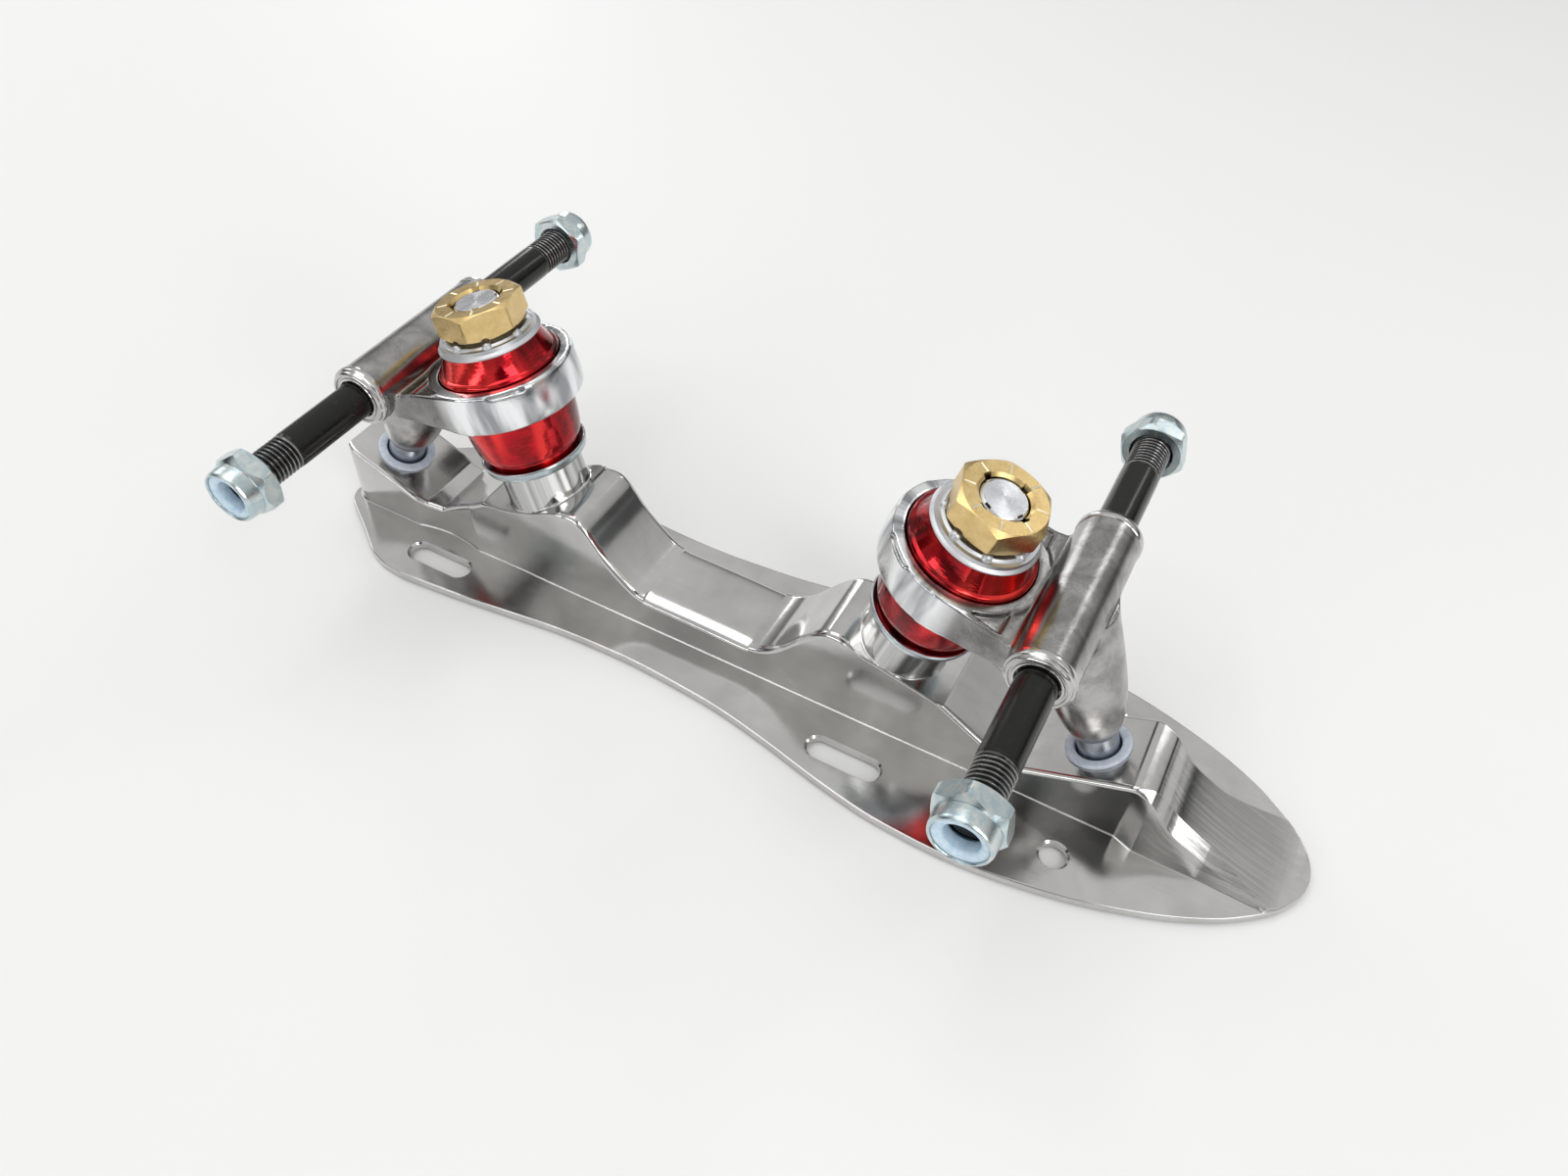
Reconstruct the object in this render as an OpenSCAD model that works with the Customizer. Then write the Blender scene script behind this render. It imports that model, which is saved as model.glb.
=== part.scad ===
// Roller skate plate with two steering trucks, shown boot face down.
// Lengths are in millimetres. X runs to the toe, Z runs up from the boot face.

/* [Foot plate] */
// overall length, heel end to toe tip
plate_length = 239; // [200:0.5:300]
// heel end to the middle of the wheelbase
heel_reach = 102; // [90:0.5:125]
// width across the heel
heel_width = 50.2; // [44:0.2:60]
// width across the waist
waist_width = 40.4; // [34:0.2:50]
// width across the ball of the foot
ball_width = 62.4; // [54:0.2:76]
// thickness of the foot flange
flange_t = 2; // [1.6:0.1:3.5]

/* [Spine] */
// width of the spine over its walls
spine_width = 19.6; // [18.4:0.2:24]
// size of the broken top edges
edge_break = 1.1; // [0.5:0.1:1.8]
// height of the low waist
waist_height = 10.7; // [9:0.1:14]
// height of the two humps beside the bosses
hump_height = 26.6; // [24:0.1:29]
// width of the toe ramp at its foot
ramp_width = 23; // [20:0.2:27]

/* [Mounting holes] */
// distance across the two round toe holes
toe_hole_span = 40.2; // [36:0.2:46]
// diameter of the round toe holes
toe_hole_d = 5.8; // [4:0.1:7]
// distance of the toe holes back from the toe tip
toe_hole_back = 47.4; // [42:0.1:54]
// distance across the front slots
front_slot_span = 40.4; // [38:0.2:48]
// distance of the front slots back from the toe tip
front_slot_back = 94.6; // [88:0.2:104]
// distance across the rear slots
rear_slot_span = 34; // [32:0.2:40]
// distance of the rear slots ahead of the heel end
rear_slot_ahead = 33.8; // [30:0.2:42]
// overall length of every slot
slot_length = 17; // [12:0.2:20]
// width of every slot
slot_width = 5.4; // [4.2:0.1:6.5]

/* [Trucks] */
// axle to axle distance
wheelbase = 152.4; // [140:0.2:170]
// lean of the kingpins away from the middle
kingpin_lean = 16; // [12:0.5:20]
// height of the top of the kingpin bosses above the boot face
boss_height = 32; // [30:0.1:36]
// axle distance out from the kingpin line
axle_out = 22.05; // [20:0.05:25]
// axle height above the washer plane, along the kingpin
axle_up = 24; // [22:0.1:27]
// diameter of the kingpin bosses
boss_d = 19; // [17:0.1:19.4]

/* [Kingpin and nut] */
// diameter of the kingpin
kingpin_d = 10; // [8:0.1:10.6]
// head diameter inside the underside pocket
kingpin_head_d = 14.4; // [13:0.1:15]
// hex size of the adjusting nut
nut_af = 17.2; // [16:0.1:20]
// height of the adjusting nut
nut_height = 6; // [5:0.1:7]

/* [Cushions and ring] */
// outside diameter of the hanger ring
ring_d = 32.6; // [30:0.1:36]
// height of the hanger ring
ring_height = 9.3; // [8:0.1:11]
// gap from the washer plane up to the ring
ring_lift = 13.7; // [12:0.1:16]
// outside diameter of the lower washer
washer_d = 23.8; // [22:0.1:26]
// outside diameter of the upper cup
cup_rim_d = 22.4; // [20:0.1:24]

/* [Axle] */
// axle diameter
axle_d = 8; // [7:0.1:8]
// length of each axle
axle_length = 108; // [102:0.1:112]
// length of the thread at each end
thread_length = 12.5; // [8:0.1:14]
// pitch of the axle thread
thread_pitch = 1; // [0.8:0.05:1.25]
// half length of the hanger barrel
barrel_half = 21.6; // [19:0.1:23]
// barrel diameter
barrel_d = 13.4; // [12:0.1:15]
// hex size of the axle lock nuts
lock_af = 12.8; // [12.6:0.1:14]
// height of the axle lock nuts
lock_height = 7.8; // [7:0.1:9]
// how far each lock nut stands past the axle end
nut_proud = 3.6; // [1:0.1:4]

/* [Pivot] */
// pivot cup distance from the wheelbase middle
cup_x = 89.5; // [86:0.1:93]
// height of the pivot platform at the cup
cup_z = 15; // [13:0.1:17]
// tilt of the pivot platforms
pivot_tilt = 23; // [18:0.5:25]
// diameter of the cup flange
cup_flange_d = 13.7; // [12.6:0.1:15]
// diameter of the pivot ball
ball_d = 8.8; // [7.6:0.1:9.2]

/* [Hidden] */
$fn = 64;
eps = 0.01;
mid_x = plate_length / 2 - heel_reach;
toe_x = plate_length - heel_reach;
toe_hole_x = toe_x - toe_hole_back;
front_slot_x = toe_x - front_slot_back;
rear_slot_x = heel_reach - rear_slot_ahead;
thread_start = axle_length / 2 - thread_length;
lock_face = axle_length / 2 + nut_proud;
// how far each nut happens to be turned, in degrees
front_turn = 104.6;
rear_turn = 170.5;
// washer under each lower cushion: how far its underside lies below the washer plane
washer_drop = 1.5;
boss_x = wheelbase / 2 - axle_out * cos(kingpin_lean) - axle_up * sin(kingpin_lean);
boss_z = boss_height + washer_drop * cos(kingpin_lean);
half = spine_width / 2;
seat_t = 26;
head_t = 4.6;
head_r = kingpin_head_d / 2;
pin_r = kingpin_d / 2;
ring_r = ring_d / 2;
web_low = ring_lift + 2.9;
web_high = ring_lift + ring_height - 3.1;
cup_low = ring_lift + ring_height + 5.4;
cup_top = cup_low + 3;
cup_in = cup_low + 1.2;
pin_top = cup_top + nut_height - 0.4;
washer_r = washer_d / 2;
soft_r = ring_r - 3.6;
core_r = axle_d / 2 - 0.3;
pin_show = ball_d / 2 + 3.2;
pin_root = 2 * ball_d;
flange_lip = 0.9;
ball_depth = 3;
ball_r = ball_d / 2;
// unit vector of the pivot axis, pointing down and outboard
px = sin(pivot_tilt);
pz = -cos(pivot_tilt);
ball_x = cup_x + px * (ball_depth - flange_lip);
ball_z = cup_z + pz * (ball_depth - flange_lip);
axle_x = wheelbase / 2;
axle_z = boss_z - axle_out * sin(kingpin_lean) + axle_up * cos(kingpin_lean);
leg_dx = axle_x - 1 - ball_x;
leg_dz = axle_z - ball_z;
leg_len = norm([leg_dx, leg_dz]);
leg_tilt = atan2(leg_dx, leg_dz);

// height of the pivot platform at a distance from the wheelbase middle
function plat(x) = cup_z + (x - cup_x) * tan(pivot_tilt);

// smooth curve through hand placed stations
function cr(a, b, c, d, t) = 0.5 * (2 * b + (c - a) * t + (2 * a - 5 * b + 4 * c - d) * t * t
  + (3 * b - a - 3 * c + d) * t * t * t);
function smooth(p, n) = [for (i = [0 : len(p) - 2]) for (k = [0 : n - 1])
  cr(p[max(i - 1, 0)], p[i], p[i + 1], p[min(i + 2, len(p) - 1)], k / n)];
function flip(p) = [for (i = [len(p) - 1 : -1 : 0]) [p[i][0], -p[i][1]]];

// half outline of the foot flange, heel to toe
hh = heel_width / 2;
wh = waist_width / 2;
bh = ball_width / 2;
function fx(f) = -heel_reach + f * plate_length;
heel_pts = [[fx(0), 0.30 * hh], [fx(0.006), 0.42 * hh], [fx(0.015), 0.49 * hh],
  [fx(0.045), 0.70 * hh], [fx(0.075), 0.91 * hh], [fx(0.095), 0.98 * hh], [fx(0.125), hh]];
function mixed(t) = wh + t * (hh - wh);
function wider(t) = wh + t * (bh - wh);
side_pts = [[fx(0.125), hh], [fx(0.18), mixed(0.8)], [fx(0.24), mixed(0.47)], [fx(0.3), mixed(0.12)],
  [fx(0.37), wh], [fx(0.425), wider(0.06)], [fx(0.48), wider(0.18)], [fx(0.535), wider(0.42)],
  [fx(0.59), wider(0.7)], [fx(0.64), wider(0.91)], [fx(0.68), wider(0.985)], [fx(0.715), bh],
  [fx(0.75), 0.985 * bh], [fx(0.79), 0.945 * bh], [fx(0.83), 0.885 * bh], [fx(0.868), 0.80 * bh],
  [fx(0.905), 0.70 * bh], [fx(0.938), 0.575 * bh], [fx(0.962), 0.45 * bh], [fx(0.98), 0.33 * bh],
  [fx(0.992), 0.205 * bh], [fx(0.998), 0.10 * bh], [fx(1), 0]];
half_outline = concat(heel_pts, smooth(side_pts, 3));
outline_pts = concat(half_outline, [[toe_x, 0]], flip(half_outline));

// top line of the spine, heel to toe
vx = cup_x - 15.6;
valley_rear = [[-vx - 3.4, plat(vx + 3.4)], [-vx - 1, plat(vx) + 0.8], [-vx + 1.6, plat(vx) + 1.6]];
top_rear = [[-heel_reach + 2.7, plat(heel_reach - 2.7)], each valley_rear, [-58.3, 19.2]];
hump = smooth([[-58.3, 19.2], [-51, 20.8], [-44, 23], [-39, 25.2], [-35, hump_height],
  [-31.6, hump_height + 0.2], [-29, hump_height - 2], [-25, hump_height - 7.6], [-21, 15], [-17.4, 12],
  [-14, waist_height + 0.3], [-8, waist_height]], 3);
rise = smooth([[8, waist_height - 0.1], [14.2, waist_height], [17.4, 12], [21, 15], [25, 20],
  [28.4, hump_height - 3], [31, hump_height - 1.2], [34.4, hump_height - 1.2], [39.7, 23.4],
  [45, 22], [52, 20.3], [58.3, 19]], 3);
crx = cup_x + 9;
crease_height = plat(crx);
toe_ramp = smooth([[crx + 4.3, crease_height + 0.2], [crx + 6, crease_height - 1.8],
  [crx + 8, crease_height - 4], [crx + 11, crease_height - 6.6], [crx + 16, crease_height - 9.4],
  [crx + 22, crease_height - 12.2],
  [crx + 28, flange_t + 2.2], [crx + 32, flange_t + 0.7], [crx + 35, flange_t - 0.3]], 2);
top_front = [[vx - 1.6, plat(vx) + 1.4], [vx + 1, plat(vx) + 0.8], [vx + 3.4, plat(vx + 3.4)],
  [crx, crease_height]];
top_line = concat(top_rear, hump, rise, top_front);
spine_side = concat([[-heel_reach, eps]], top_line, [[crx + 4.3, crease_height + 0.2],
  [crx + 6, crease_height - 1.8], [crx + 9, flange_t], [crx + 9, eps]]);
ramp_side = concat([[crx + 4.3, eps]], toe_ramp, [[crx + 35, eps]]);

// puts truck parts in place, toe end and heel end
module front() translate([-mid_x, 0, 0]) children();
module rear() translate([-mid_x, 0, 0]) rotate([0, 0, 180]) children();
// frame of the kingpin: Z up the pin from the washer plane, X out to the axle
module on_pin() translate([boss_x, 0, boss_z]) rotate([0, kingpin_lean, 0]) children();
// frame of the pivot: Z up out of the platform
module on_pivot() translate([cup_x, 0, cup_z]) rotate([0, -pivot_tilt, 0]) children();
// frame of the axle: Z along the axle to the left side
module on_axle() translate([axle_x, 0, axle_z]) rotate([-90, 0, 0]) children();
// extrudes a side view across the plate
module across(w) rotate([90, 0, 0]) linear_extrude(w, center = true) children();
module ringed(r, a, b) translate([0, 0, a]) cylinder(h = b - a, r = r);

module slot_at(x, y) translate([x, y, -1]) linear_extrude(flange_t + 2) union() {
  translate([-(slot_length - slot_width) / 2, 0]) circle(d = slot_width);
  translate([(slot_length - slot_width) / 2, 0]) circle(d = slot_width);
  square([slot_length - slot_width, slot_width], center = true);
}

// spine with its two long top edges broken at an angle
module edged(w, e, drop) {
  across(w - 2 * e) children();
  for (s = [-1, 1]) translate([0, s * (w / 2 - e), 0])
    multmatrix([[1, 0, 0, 0], [0, 1, 0, 0], [0, -s * drop / e, 1, 0], [0, 0, 0, 1]])
      translate([0, s * e / 2, 0]) across(e + eps) children();
}

module spine_plan() {
  translate([-heel_reach + 6, -half + 6]) circle(r = 6);
  translate([-heel_reach + 6, half - 6]) circle(r = 6);
  translate([-heel_reach, -half + 6]) square([20, spine_width - 12]);
  translate([-heel_reach + 6, -half]) square([plate_length, spine_width]);
}

module spine() intersection() {
  difference() {
    edged(spine_width, edge_break, edge_break) polygon(spine_side);
    // shallow hollows in both walls beside the rear platform
    for (s = [-1, 1]) translate([-71, s * (half + 30.6), -1]) cylinder(h = 40, r = 31.8);
  }
  linear_extrude(60) spine_plan();
}

module ramp() intersection() {
  edged(ramp_width, (ramp_width - spine_width) / 2 + 0.5, 2.2) polygon(ramp_side);
  linear_extrude(60) polygon(outline_pts);
}

module boss() ringed(boss_d / 2, -20, -washer_drop);

module boss_foot() intersection() {
  translate([0, 0, -16]) cylinder(h = 8, r1 = boss_d / 2 + 3.2, r2 = boss_d / 2);
  translate([0, 0, -30]) linear_extrude(60) square([60, spine_width - 1.2], center = true);
}

module pin_bore() {
  ringed(pin_r, -60, 10);
  ringed(head_r + 0.4, -70, -seat_t);
}

// blind pocket in the boot face, under the spine
module hollow(x0, x1, y, z) {
  translate([x0, -y, -1]) cube([x1 - x0, 2 * y, z + 1]);
}

module plate_solid() difference() {
  union() {
    linear_extrude(flange_t) polygon(outline_pts);
    spine();
    ramp();
    on_pin() boss();
    on_pin() boss_foot();
    rotate([0, 0, 180]) on_pin() boss();
    rotate([0, 0, 180]) on_pin() boss_foot();
  }
  for (a = [0, 180]) rotate([0, 0, a]) {
    on_pin() pin_bore();
    on_pivot() ringed(5.9, -8.6, 5);
  }
  for (s = [-1, 1]) {
    slot_at(-rear_slot_x, s * rear_slot_span / 2);
    slot_at(front_slot_x, s * front_slot_span / 2);
    translate([toe_hole_x, s * toe_hole_span / 2, -1]) cylinder(h = flange_t + 2, d = toe_hole_d);
  }
  hollow(-24, -9, 6, 6.4);
  hollow(-6.5, 6.5, 6, 6.4);
  hollow(9, 24, 6, 6.4);
  hollow(56, 67, 5.6, 5.2);
  hollow(103, 114, 6, 4.4);
  hollow(-67, -56, 5.6, 5.2);
}

module plate() color([0.78, 0.79, 0.8]) front() plate_solid();

module kingpin_shape() on_pin() difference() {
  rotate_extrude() polygon([[0, -seat_t - head_t], [head_r - 0.6, -seat_t - head_t],
    [head_r, -seat_t - head_t + 0.6], [head_r, -seat_t], [pin_r, -seat_t], [pin_r, pin_top - 6.8],
    [pin_r - 0.6, pin_top - 6],
    [pin_r - 0.6, pin_top - 5.4], [pin_r - 0.1, pin_top - 4.9], [pin_r - 0.1, pin_top - 0.7],
    [pin_r - 0.7, pin_top], [0, pin_top]]);
  // hex drive in the head
  translate([0, 0, -seat_t - head_t - 1]) cylinder(h = 4, d = 7, $fn = 6);
}

module washer_shape() on_pin() rotate_extrude() polygon([[pin_r + 0.05, -washer_drop],
  [washer_r - 1.3, -washer_drop], [washer_r - 0.3, -0.5], [washer_r, 0.1], [washer_r - 0.3, 0.4],
  [washer_r - 0.9, 0.1], [washer_r - 1.2, -0.4], [pin_r + 0.05, -0.4]]);

module lower_cushion_shape() on_pin() rotate_extrude() polygon([[pin_r + 0.3, -0.4],
  [washer_r - 1.7, -0.4], [washer_r - 1, 0.3], [soft_r - 0.9, 0.19 * ring_lift],
  [soft_r - 0.2, 0.47 * ring_lift],
  [soft_r, 0.73 * ring_lift], [soft_r - 0.2, 0.95 * ring_lift], [soft_r - 0.6, web_low - 0.6],
  [soft_r - 1.2, web_low], [pin_r + 0.3, web_low]]);

module upper_cushion_shape() on_pin() rotate_extrude() polygon([[pin_r + 0.3, web_high],
  [soft_r - 0.5, web_high], [soft_r + 0.2, web_high + 0.8], [soft_r + 0.4, ring_lift + ring_height + 0.2],
  [soft_r + 0.2, ring_lift + ring_height + 0.9], [soft_r - 0.6, ring_lift + ring_height + 1.5],
  [cup_rim_d / 2 - 0.7, cup_low], [cup_rim_d / 2 - 2, cup_in], [pin_r + 0.3, cup_in]]);

module upper_cup_shape(turn) on_pin() rotate([0, 0, turn]) {
  rotate_extrude() polygon([[pin_r + 0.1, cup_in], [cup_rim_d / 2 - 2, cup_in],
    [cup_rim_d / 2 - 0.7, cup_low], [cup_rim_d / 2 - 0.2, cup_low], [cup_rim_d / 2, cup_low + 0.3],
    [cup_rim_d / 2 - 0.02, cup_low + 0.45], [9, cup_top - 0.8], [6.5, cup_top - 0.8],
    [6.3, cup_top], [pin_r + 0.1, cup_top]]);
  // click bumps, from the gap under the nut out past its edge
  for (a = [0 : 45 : 315]) rotate([0, 0, a + 5]) intersection() {
    translate([6, 0, cup_top - 1.2]) rotate([0, 90, 0]) cylinder(h = 3.9, r = 1.1);
    ringed(9.8, cup_top - 1.5, cup_top - 0.1);
  }
}

module kingpin_nut_shape(turn) on_pin() rotate([0, 0, turn]) difference() {
  intersection() {
    translate([0, 0, cup_top]) cylinder(h = nut_height, d = nut_af / cos(30), $fn = 6);
    rotate_extrude() polygon([[0, cup_top], [nut_af / 2 - 0.1, cup_top],
      [nut_af / 2 + 1.6, cup_top + 0.9],
      [nut_af / 2 + 1.6, cup_top + nut_height - 0.9], [nut_af / 2 - 0.15, cup_top + nut_height],
      [0, cup_top + nut_height]]);
  }
  ringed(pin_r + 0.05, cup_top - 1, cup_top + nut_height + 1);
  translate([0, 0, cup_top + nut_height - 0.7]) cylinder(h = 0.8, r1 = pin_r, r2 = pin_r + 0.8);
  // engraved dial lines on the top
  for (a = [0 : 45 : 315]) rotate([0, 0, a]) translate([5.9, -0.15, cup_top + nut_height - 0.25])
    cube([2.3, 0.3, 1]);
  // wrench proof notches in the bore
  for (a = [0 : 90 : 270]) rotate([0, 0, a + 49]) translate([pin_r - 1, -0.8, cup_top + nut_height - 1.4])
    cube([1.75, 1.6, 2]);
  // shallow scallops that click over the bumps
  for (a = [0 : 45 : 315]) rotate([0, 0, a + 5]) translate([6.8, 0, cup_top - 0.55]) rotate([0, 90, 0])
    cylinder(h = 6, r = 1.25);
}

module lip_profile() {
  polygon([[0, -barrel_half], [axle_d / 2 + 1, -barrel_half], [axle_d / 2 + 1, -barrel_half + 0.4],
    [axle_d / 2 + 1.4, -barrel_half + 0.4], [axle_d / 2 + 1.4, -barrel_half],
    [barrel_d / 2 - 0.9, -barrel_half], [barrel_d / 2 - 0.5, -barrel_half + 0.3],
    [barrel_d / 2 - 0.5, -barrel_half + 0.8], [barrel_d / 2, -barrel_half + 1.1],
    [barrel_d / 2 + 0.1, -barrel_half + 1.8], [barrel_d / 2, -barrel_half + 2.5],
    [barrel_d / 2 - 0.2, -barrel_half + 2.8], [barrel_d / 2 - 0.2, 0], [0, 0]]);
}

module barrel_shape() translate([axle_out, 0, axle_up]) rotate([90, 0, 0]) {
  rotate_extrude() lip_profile();
  mirror([0, 0, 1]) rotate_extrude() lip_profile();
}

// plan of the two arms from the ring out to the barrel
module arm_plan() polygon([[-1, -ring_r + 0.1], [9, -ring_r + 0.5], [15, -17.2], [19, -18.6],
  [axle_out, -18.8], [axle_out + 2, -18.2], [axle_out + 2, 18.2], [axle_out, 18.8], [19, 18.6],
  [15, 17.2], [9, ring_r - 0.5],
  [-1, ring_r - 0.1]]);

module arm_side() polygon([[-1, ring_lift + 0.4], [11, ring_lift + 0.5], [15, ring_lift + 1.6],
  [18, ring_lift + 3.6], [20, ring_lift + 4.6], [axle_out + 2, ring_lift + 5],
  [axle_out + 2, axle_up + 1], [19, axle_up - 1.2],
  [15.5, ring_lift + ring_height - 0.6], [-1, ring_lift + ring_height - 0.6]]);

module hanger_shape() difference() {
  union() {
    on_pin() {
      rotate_extrude() polygon([[0, ring_lift], [ring_r - 1.2, ring_lift],
        [ring_r - 0.4, ring_lift + 0.7],
        [ring_r, ring_lift + ring_height / 2], [ring_r - 0.2, ring_lift + ring_height - 1],
        [ring_r - 0.9, ring_lift + ring_height], [0, ring_lift + ring_height]]);
      intersection() {
        across(44) arm_side();
        translate([0, 0, 5]) linear_extrude(30) arm_plan();
      }
      barrel_shape();
    }
    translate([ball_x, 0, ball_z]) rotate([0, leg_tilt, 0]) {
      rotate_extrude() polygon([[0, pin_show], [4.7, pin_show], [5.1, pin_show + 0.5],
        [5.9, pin_show + 2.4], [6.6, pin_show + 4.9], [7.2, pin_show + 7.4], [7.6, pin_show + 10.4],
        [7.9, pin_show + 14.4], [8.4, leg_len - 2], [0, leg_len - 2]]);
    }
  }
  on_pin() {
    ringed(13.4, web_high, 60);
    ringed(13, -10, web_low);
    translate([0, 0, web_low - 1]) cylinder(h = web_high - web_low + 2, r = 7.8);
    translate([0, 0, ring_lift - eps]) cylinder(h = 0.6, r1 = 13.6, r2 = 13);
  }
  // bore for the pressed axle, open a little wider at both ends
  on_axle() cylinder(h = 60, r = core_r + 0.02, center = true);
  for (s = [-1, 1]) on_axle() translate([0, 0, s * barrel_half])
    cylinder(h = 1.2, r = axle_d / 2 + 0.3, center = true);
  // three sided pockets between the ring, the arms and the barrel
  on_pin() for (s = [-1, 1]) translate([0, 0, ring_lift + ring_height - 2]) linear_extrude(8)
    polygon([[11.6, s * 13], [15.6, s * 15.4], [15.4, s * 10]]);
  // socket for the steel pivot pin
  translate([ball_x, 0, ball_z]) rotate([0, leg_tilt, 0]) ringed(3.2, 0, pin_root + 0.4);
}

turns = floor((axle_length / 2 - thread_start - 1) / thread_pitch);
crest_r = axle_d / 2 - 0.05;
root_r = axle_d / 2 - 0.62;
teeth = [for (i = [0 : turns - 1]) each
  [[root_r, thread_start + (i + 0.35) * thread_pitch], [root_r, thread_start + (i + 0.5) * thread_pitch],
  [crest_r, thread_start + (i + 0.8) * thread_pitch], [crest_r, thread_start + (i + 1) * thread_pitch]]];
// the middle is 0.3 mm thinner where the hanger grips it
axle_half = concat([[0, 0], [core_r, 0], [core_r, barrel_half + 0.15], [axle_d / 2, barrel_half + 0.15],
  [axle_d / 2, thread_start - 0.6], [axle_d / 2 - 0.35, thread_start - 0.3],
  [axle_d / 2 - 0.35, thread_start]], teeth, [[crest_r, axle_length / 2 - 0.8],
  [axle_d / 2 - 0.8, axle_length / 2], [0, axle_length / 2]]);

module axle_shape() on_axle() {
  rotate_extrude() polygon(axle_half);
  mirror([0, 0, 1]) rotate_extrude() polygon(axle_half);
}

lock_in = lock_face - lock_height;
hex_end = lock_in + lock_height * 0.55;
collar_r = lock_af / 2 - 0.5;
insert_r = collar_r - 0.8;

module lock_nut_shape(turn) rotate([0, 0, turn]) difference() {
  union() {
    intersection() {
      translate([0, 0, lock_in]) cylinder(h = hex_end - lock_in, d = lock_af / cos(30), $fn = 6);
      rotate_extrude() polygon([[0, lock_in], [lock_af / 2 - 0.2, lock_in],
        [lock_af / 2 + 1.2, lock_in + 0.8],
        [lock_af / 2 + 1.2, hex_end - 1.5], [lock_af / 2 - 0.3, hex_end], [0, hex_end]]);
    }
    rotate_extrude() polygon([[0, hex_end - 1], [collar_r, hex_end - 1], [collar_r, hex_end + 0.9],
      [collar_r - 0.15, lock_face - 0.9], [collar_r - 0.45, lock_face - 0.2], [collar_r - 0.7, lock_face],
      [0, lock_face]]);
  }
  ringed(axle_d / 2, 0, lock_face + 1);
  translate([0, 0, lock_in - eps]) cylinder(h = 0.6, r1 = axle_d / 2 + 0.6, r2 = axle_d / 2);
  ringed(insert_r, lock_face - 3.4, lock_face - 0.5);
  translate([0, 0, lock_face - 0.5]) cylinder(h = 1, r1 = insert_r - 0.2, r2 = insert_r + 0.1);
}

module lock_insert_shape() rotate_extrude() polygon([[3.3, lock_face - 3.4], [insert_r, lock_face - 3.4],
  [insert_r, lock_face - 0.5], [insert_r - 0.5, lock_face - 0.5], [3.7, lock_face - 0.7],
  [3.3, lock_face - 1.1]]);

module pivot_cup_shape() on_pivot() difference() {
  union() {
    rotate_extrude() polygon([[0, 0], [cup_flange_d / 2 - 0.1, 0], [cup_flange_d / 2, 0.2],
      [cup_flange_d / 2, flange_lip - 0.3], [cup_flange_d / 2 - 0.3, flange_lip], [0, flange_lip]]);
    ringed(5.9, -8.2, eps);
  }
  translate([0, 0, flange_lip - ball_depth]) sphere(r = ball_r + 0.05);
  ringed(ball_r + 0.35, flange_lip - ball_depth, 4);
}

module pivot_pin_shape() translate([ball_x, 0, ball_z]) {
  sphere(r = ball_r);
  rotate([0, leg_tilt, 0]) {
    ringed(ball_r - 0.1, 0, pin_show);
    ringed(3.2, 7, pin_root);
  }
}

module front_kingpin() color([0.62, 0.63, 0.66]) front() kingpin_shape();
module rear_kingpin() color([0.62, 0.63, 0.66]) rear() kingpin_shape();
module front_kingpin_nut() color([0.78, 0.62, 0.3]) front() kingpin_nut_shape(front_turn);
module rear_kingpin_nut() color([0.78, 0.62, 0.3]) rear() kingpin_nut_shape(rear_turn);
module front_upper_cup() color([0.68, 0.69, 0.7]) front() upper_cup_shape(front_turn);
module rear_upper_cup() color([0.68, 0.69, 0.7]) rear() upper_cup_shape(rear_turn);
module front_upper_cushion() color([0.7, 0.02, 0.05]) front() upper_cushion_shape();
module rear_upper_cushion() color([0.7, 0.02, 0.05]) rear() upper_cushion_shape();
module front_lower_cushion() color([0.7, 0.02, 0.05]) front() lower_cushion_shape();
module rear_lower_cushion() color([0.7, 0.02, 0.05]) rear() lower_cushion_shape();
module front_lower_washer() color([0.6, 0.64, 0.66]) front() washer_shape();
module rear_lower_washer() color([0.6, 0.64, 0.66]) rear() washer_shape();
module front_hanger() color([0.76, 0.77, 0.78]) front() hanger_shape();
module rear_hanger() color([0.76, 0.77, 0.78]) rear() hanger_shape();
module front_axle() color([0.08, 0.08, 0.08]) front() axle_shape();
module rear_axle() color([0.08, 0.08, 0.08]) rear() axle_shape();
module front_pivot_pin() color([0.5, 0.52, 0.55]) front() pivot_pin_shape();
module rear_pivot_pin() color([0.5, 0.52, 0.55]) rear() pivot_pin_shape();
module front_pivot_cup() color([0.8, 0.84, 0.9]) front() pivot_cup_shape();
module rear_pivot_cup() color([0.8, 0.84, 0.9]) rear() pivot_cup_shape();
module front_lock_nut_left() color([0.66, 0.74, 0.76]) front() on_axle() lock_nut_shape(15);
module front_lock_nut_right() color([0.66, 0.74, 0.76]) front() on_axle() mirror([0, 0, 1])
  lock_nut_shape(20);
module rear_lock_nut_left() color([0.66, 0.74, 0.76]) rear() on_axle() mirror([0, 0, 1])
  lock_nut_shape(27);
module rear_lock_nut_right() color([0.66, 0.74, 0.76]) rear() on_axle() lock_nut_shape(34);
module front_lock_insert_left() color([0.7, 0.82, 0.95]) front() on_axle() lock_insert_shape();
module front_lock_insert_right() color([0.7, 0.82, 0.95]) front() on_axle() mirror([0, 0, 1])
  lock_insert_shape();
module rear_lock_insert_left() color([0.7, 0.82, 0.95]) rear() on_axle() mirror([0, 0, 1])
  lock_insert_shape();
module rear_lock_insert_right() color([0.7, 0.82, 0.95]) rear() on_axle() lock_insert_shape();

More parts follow.
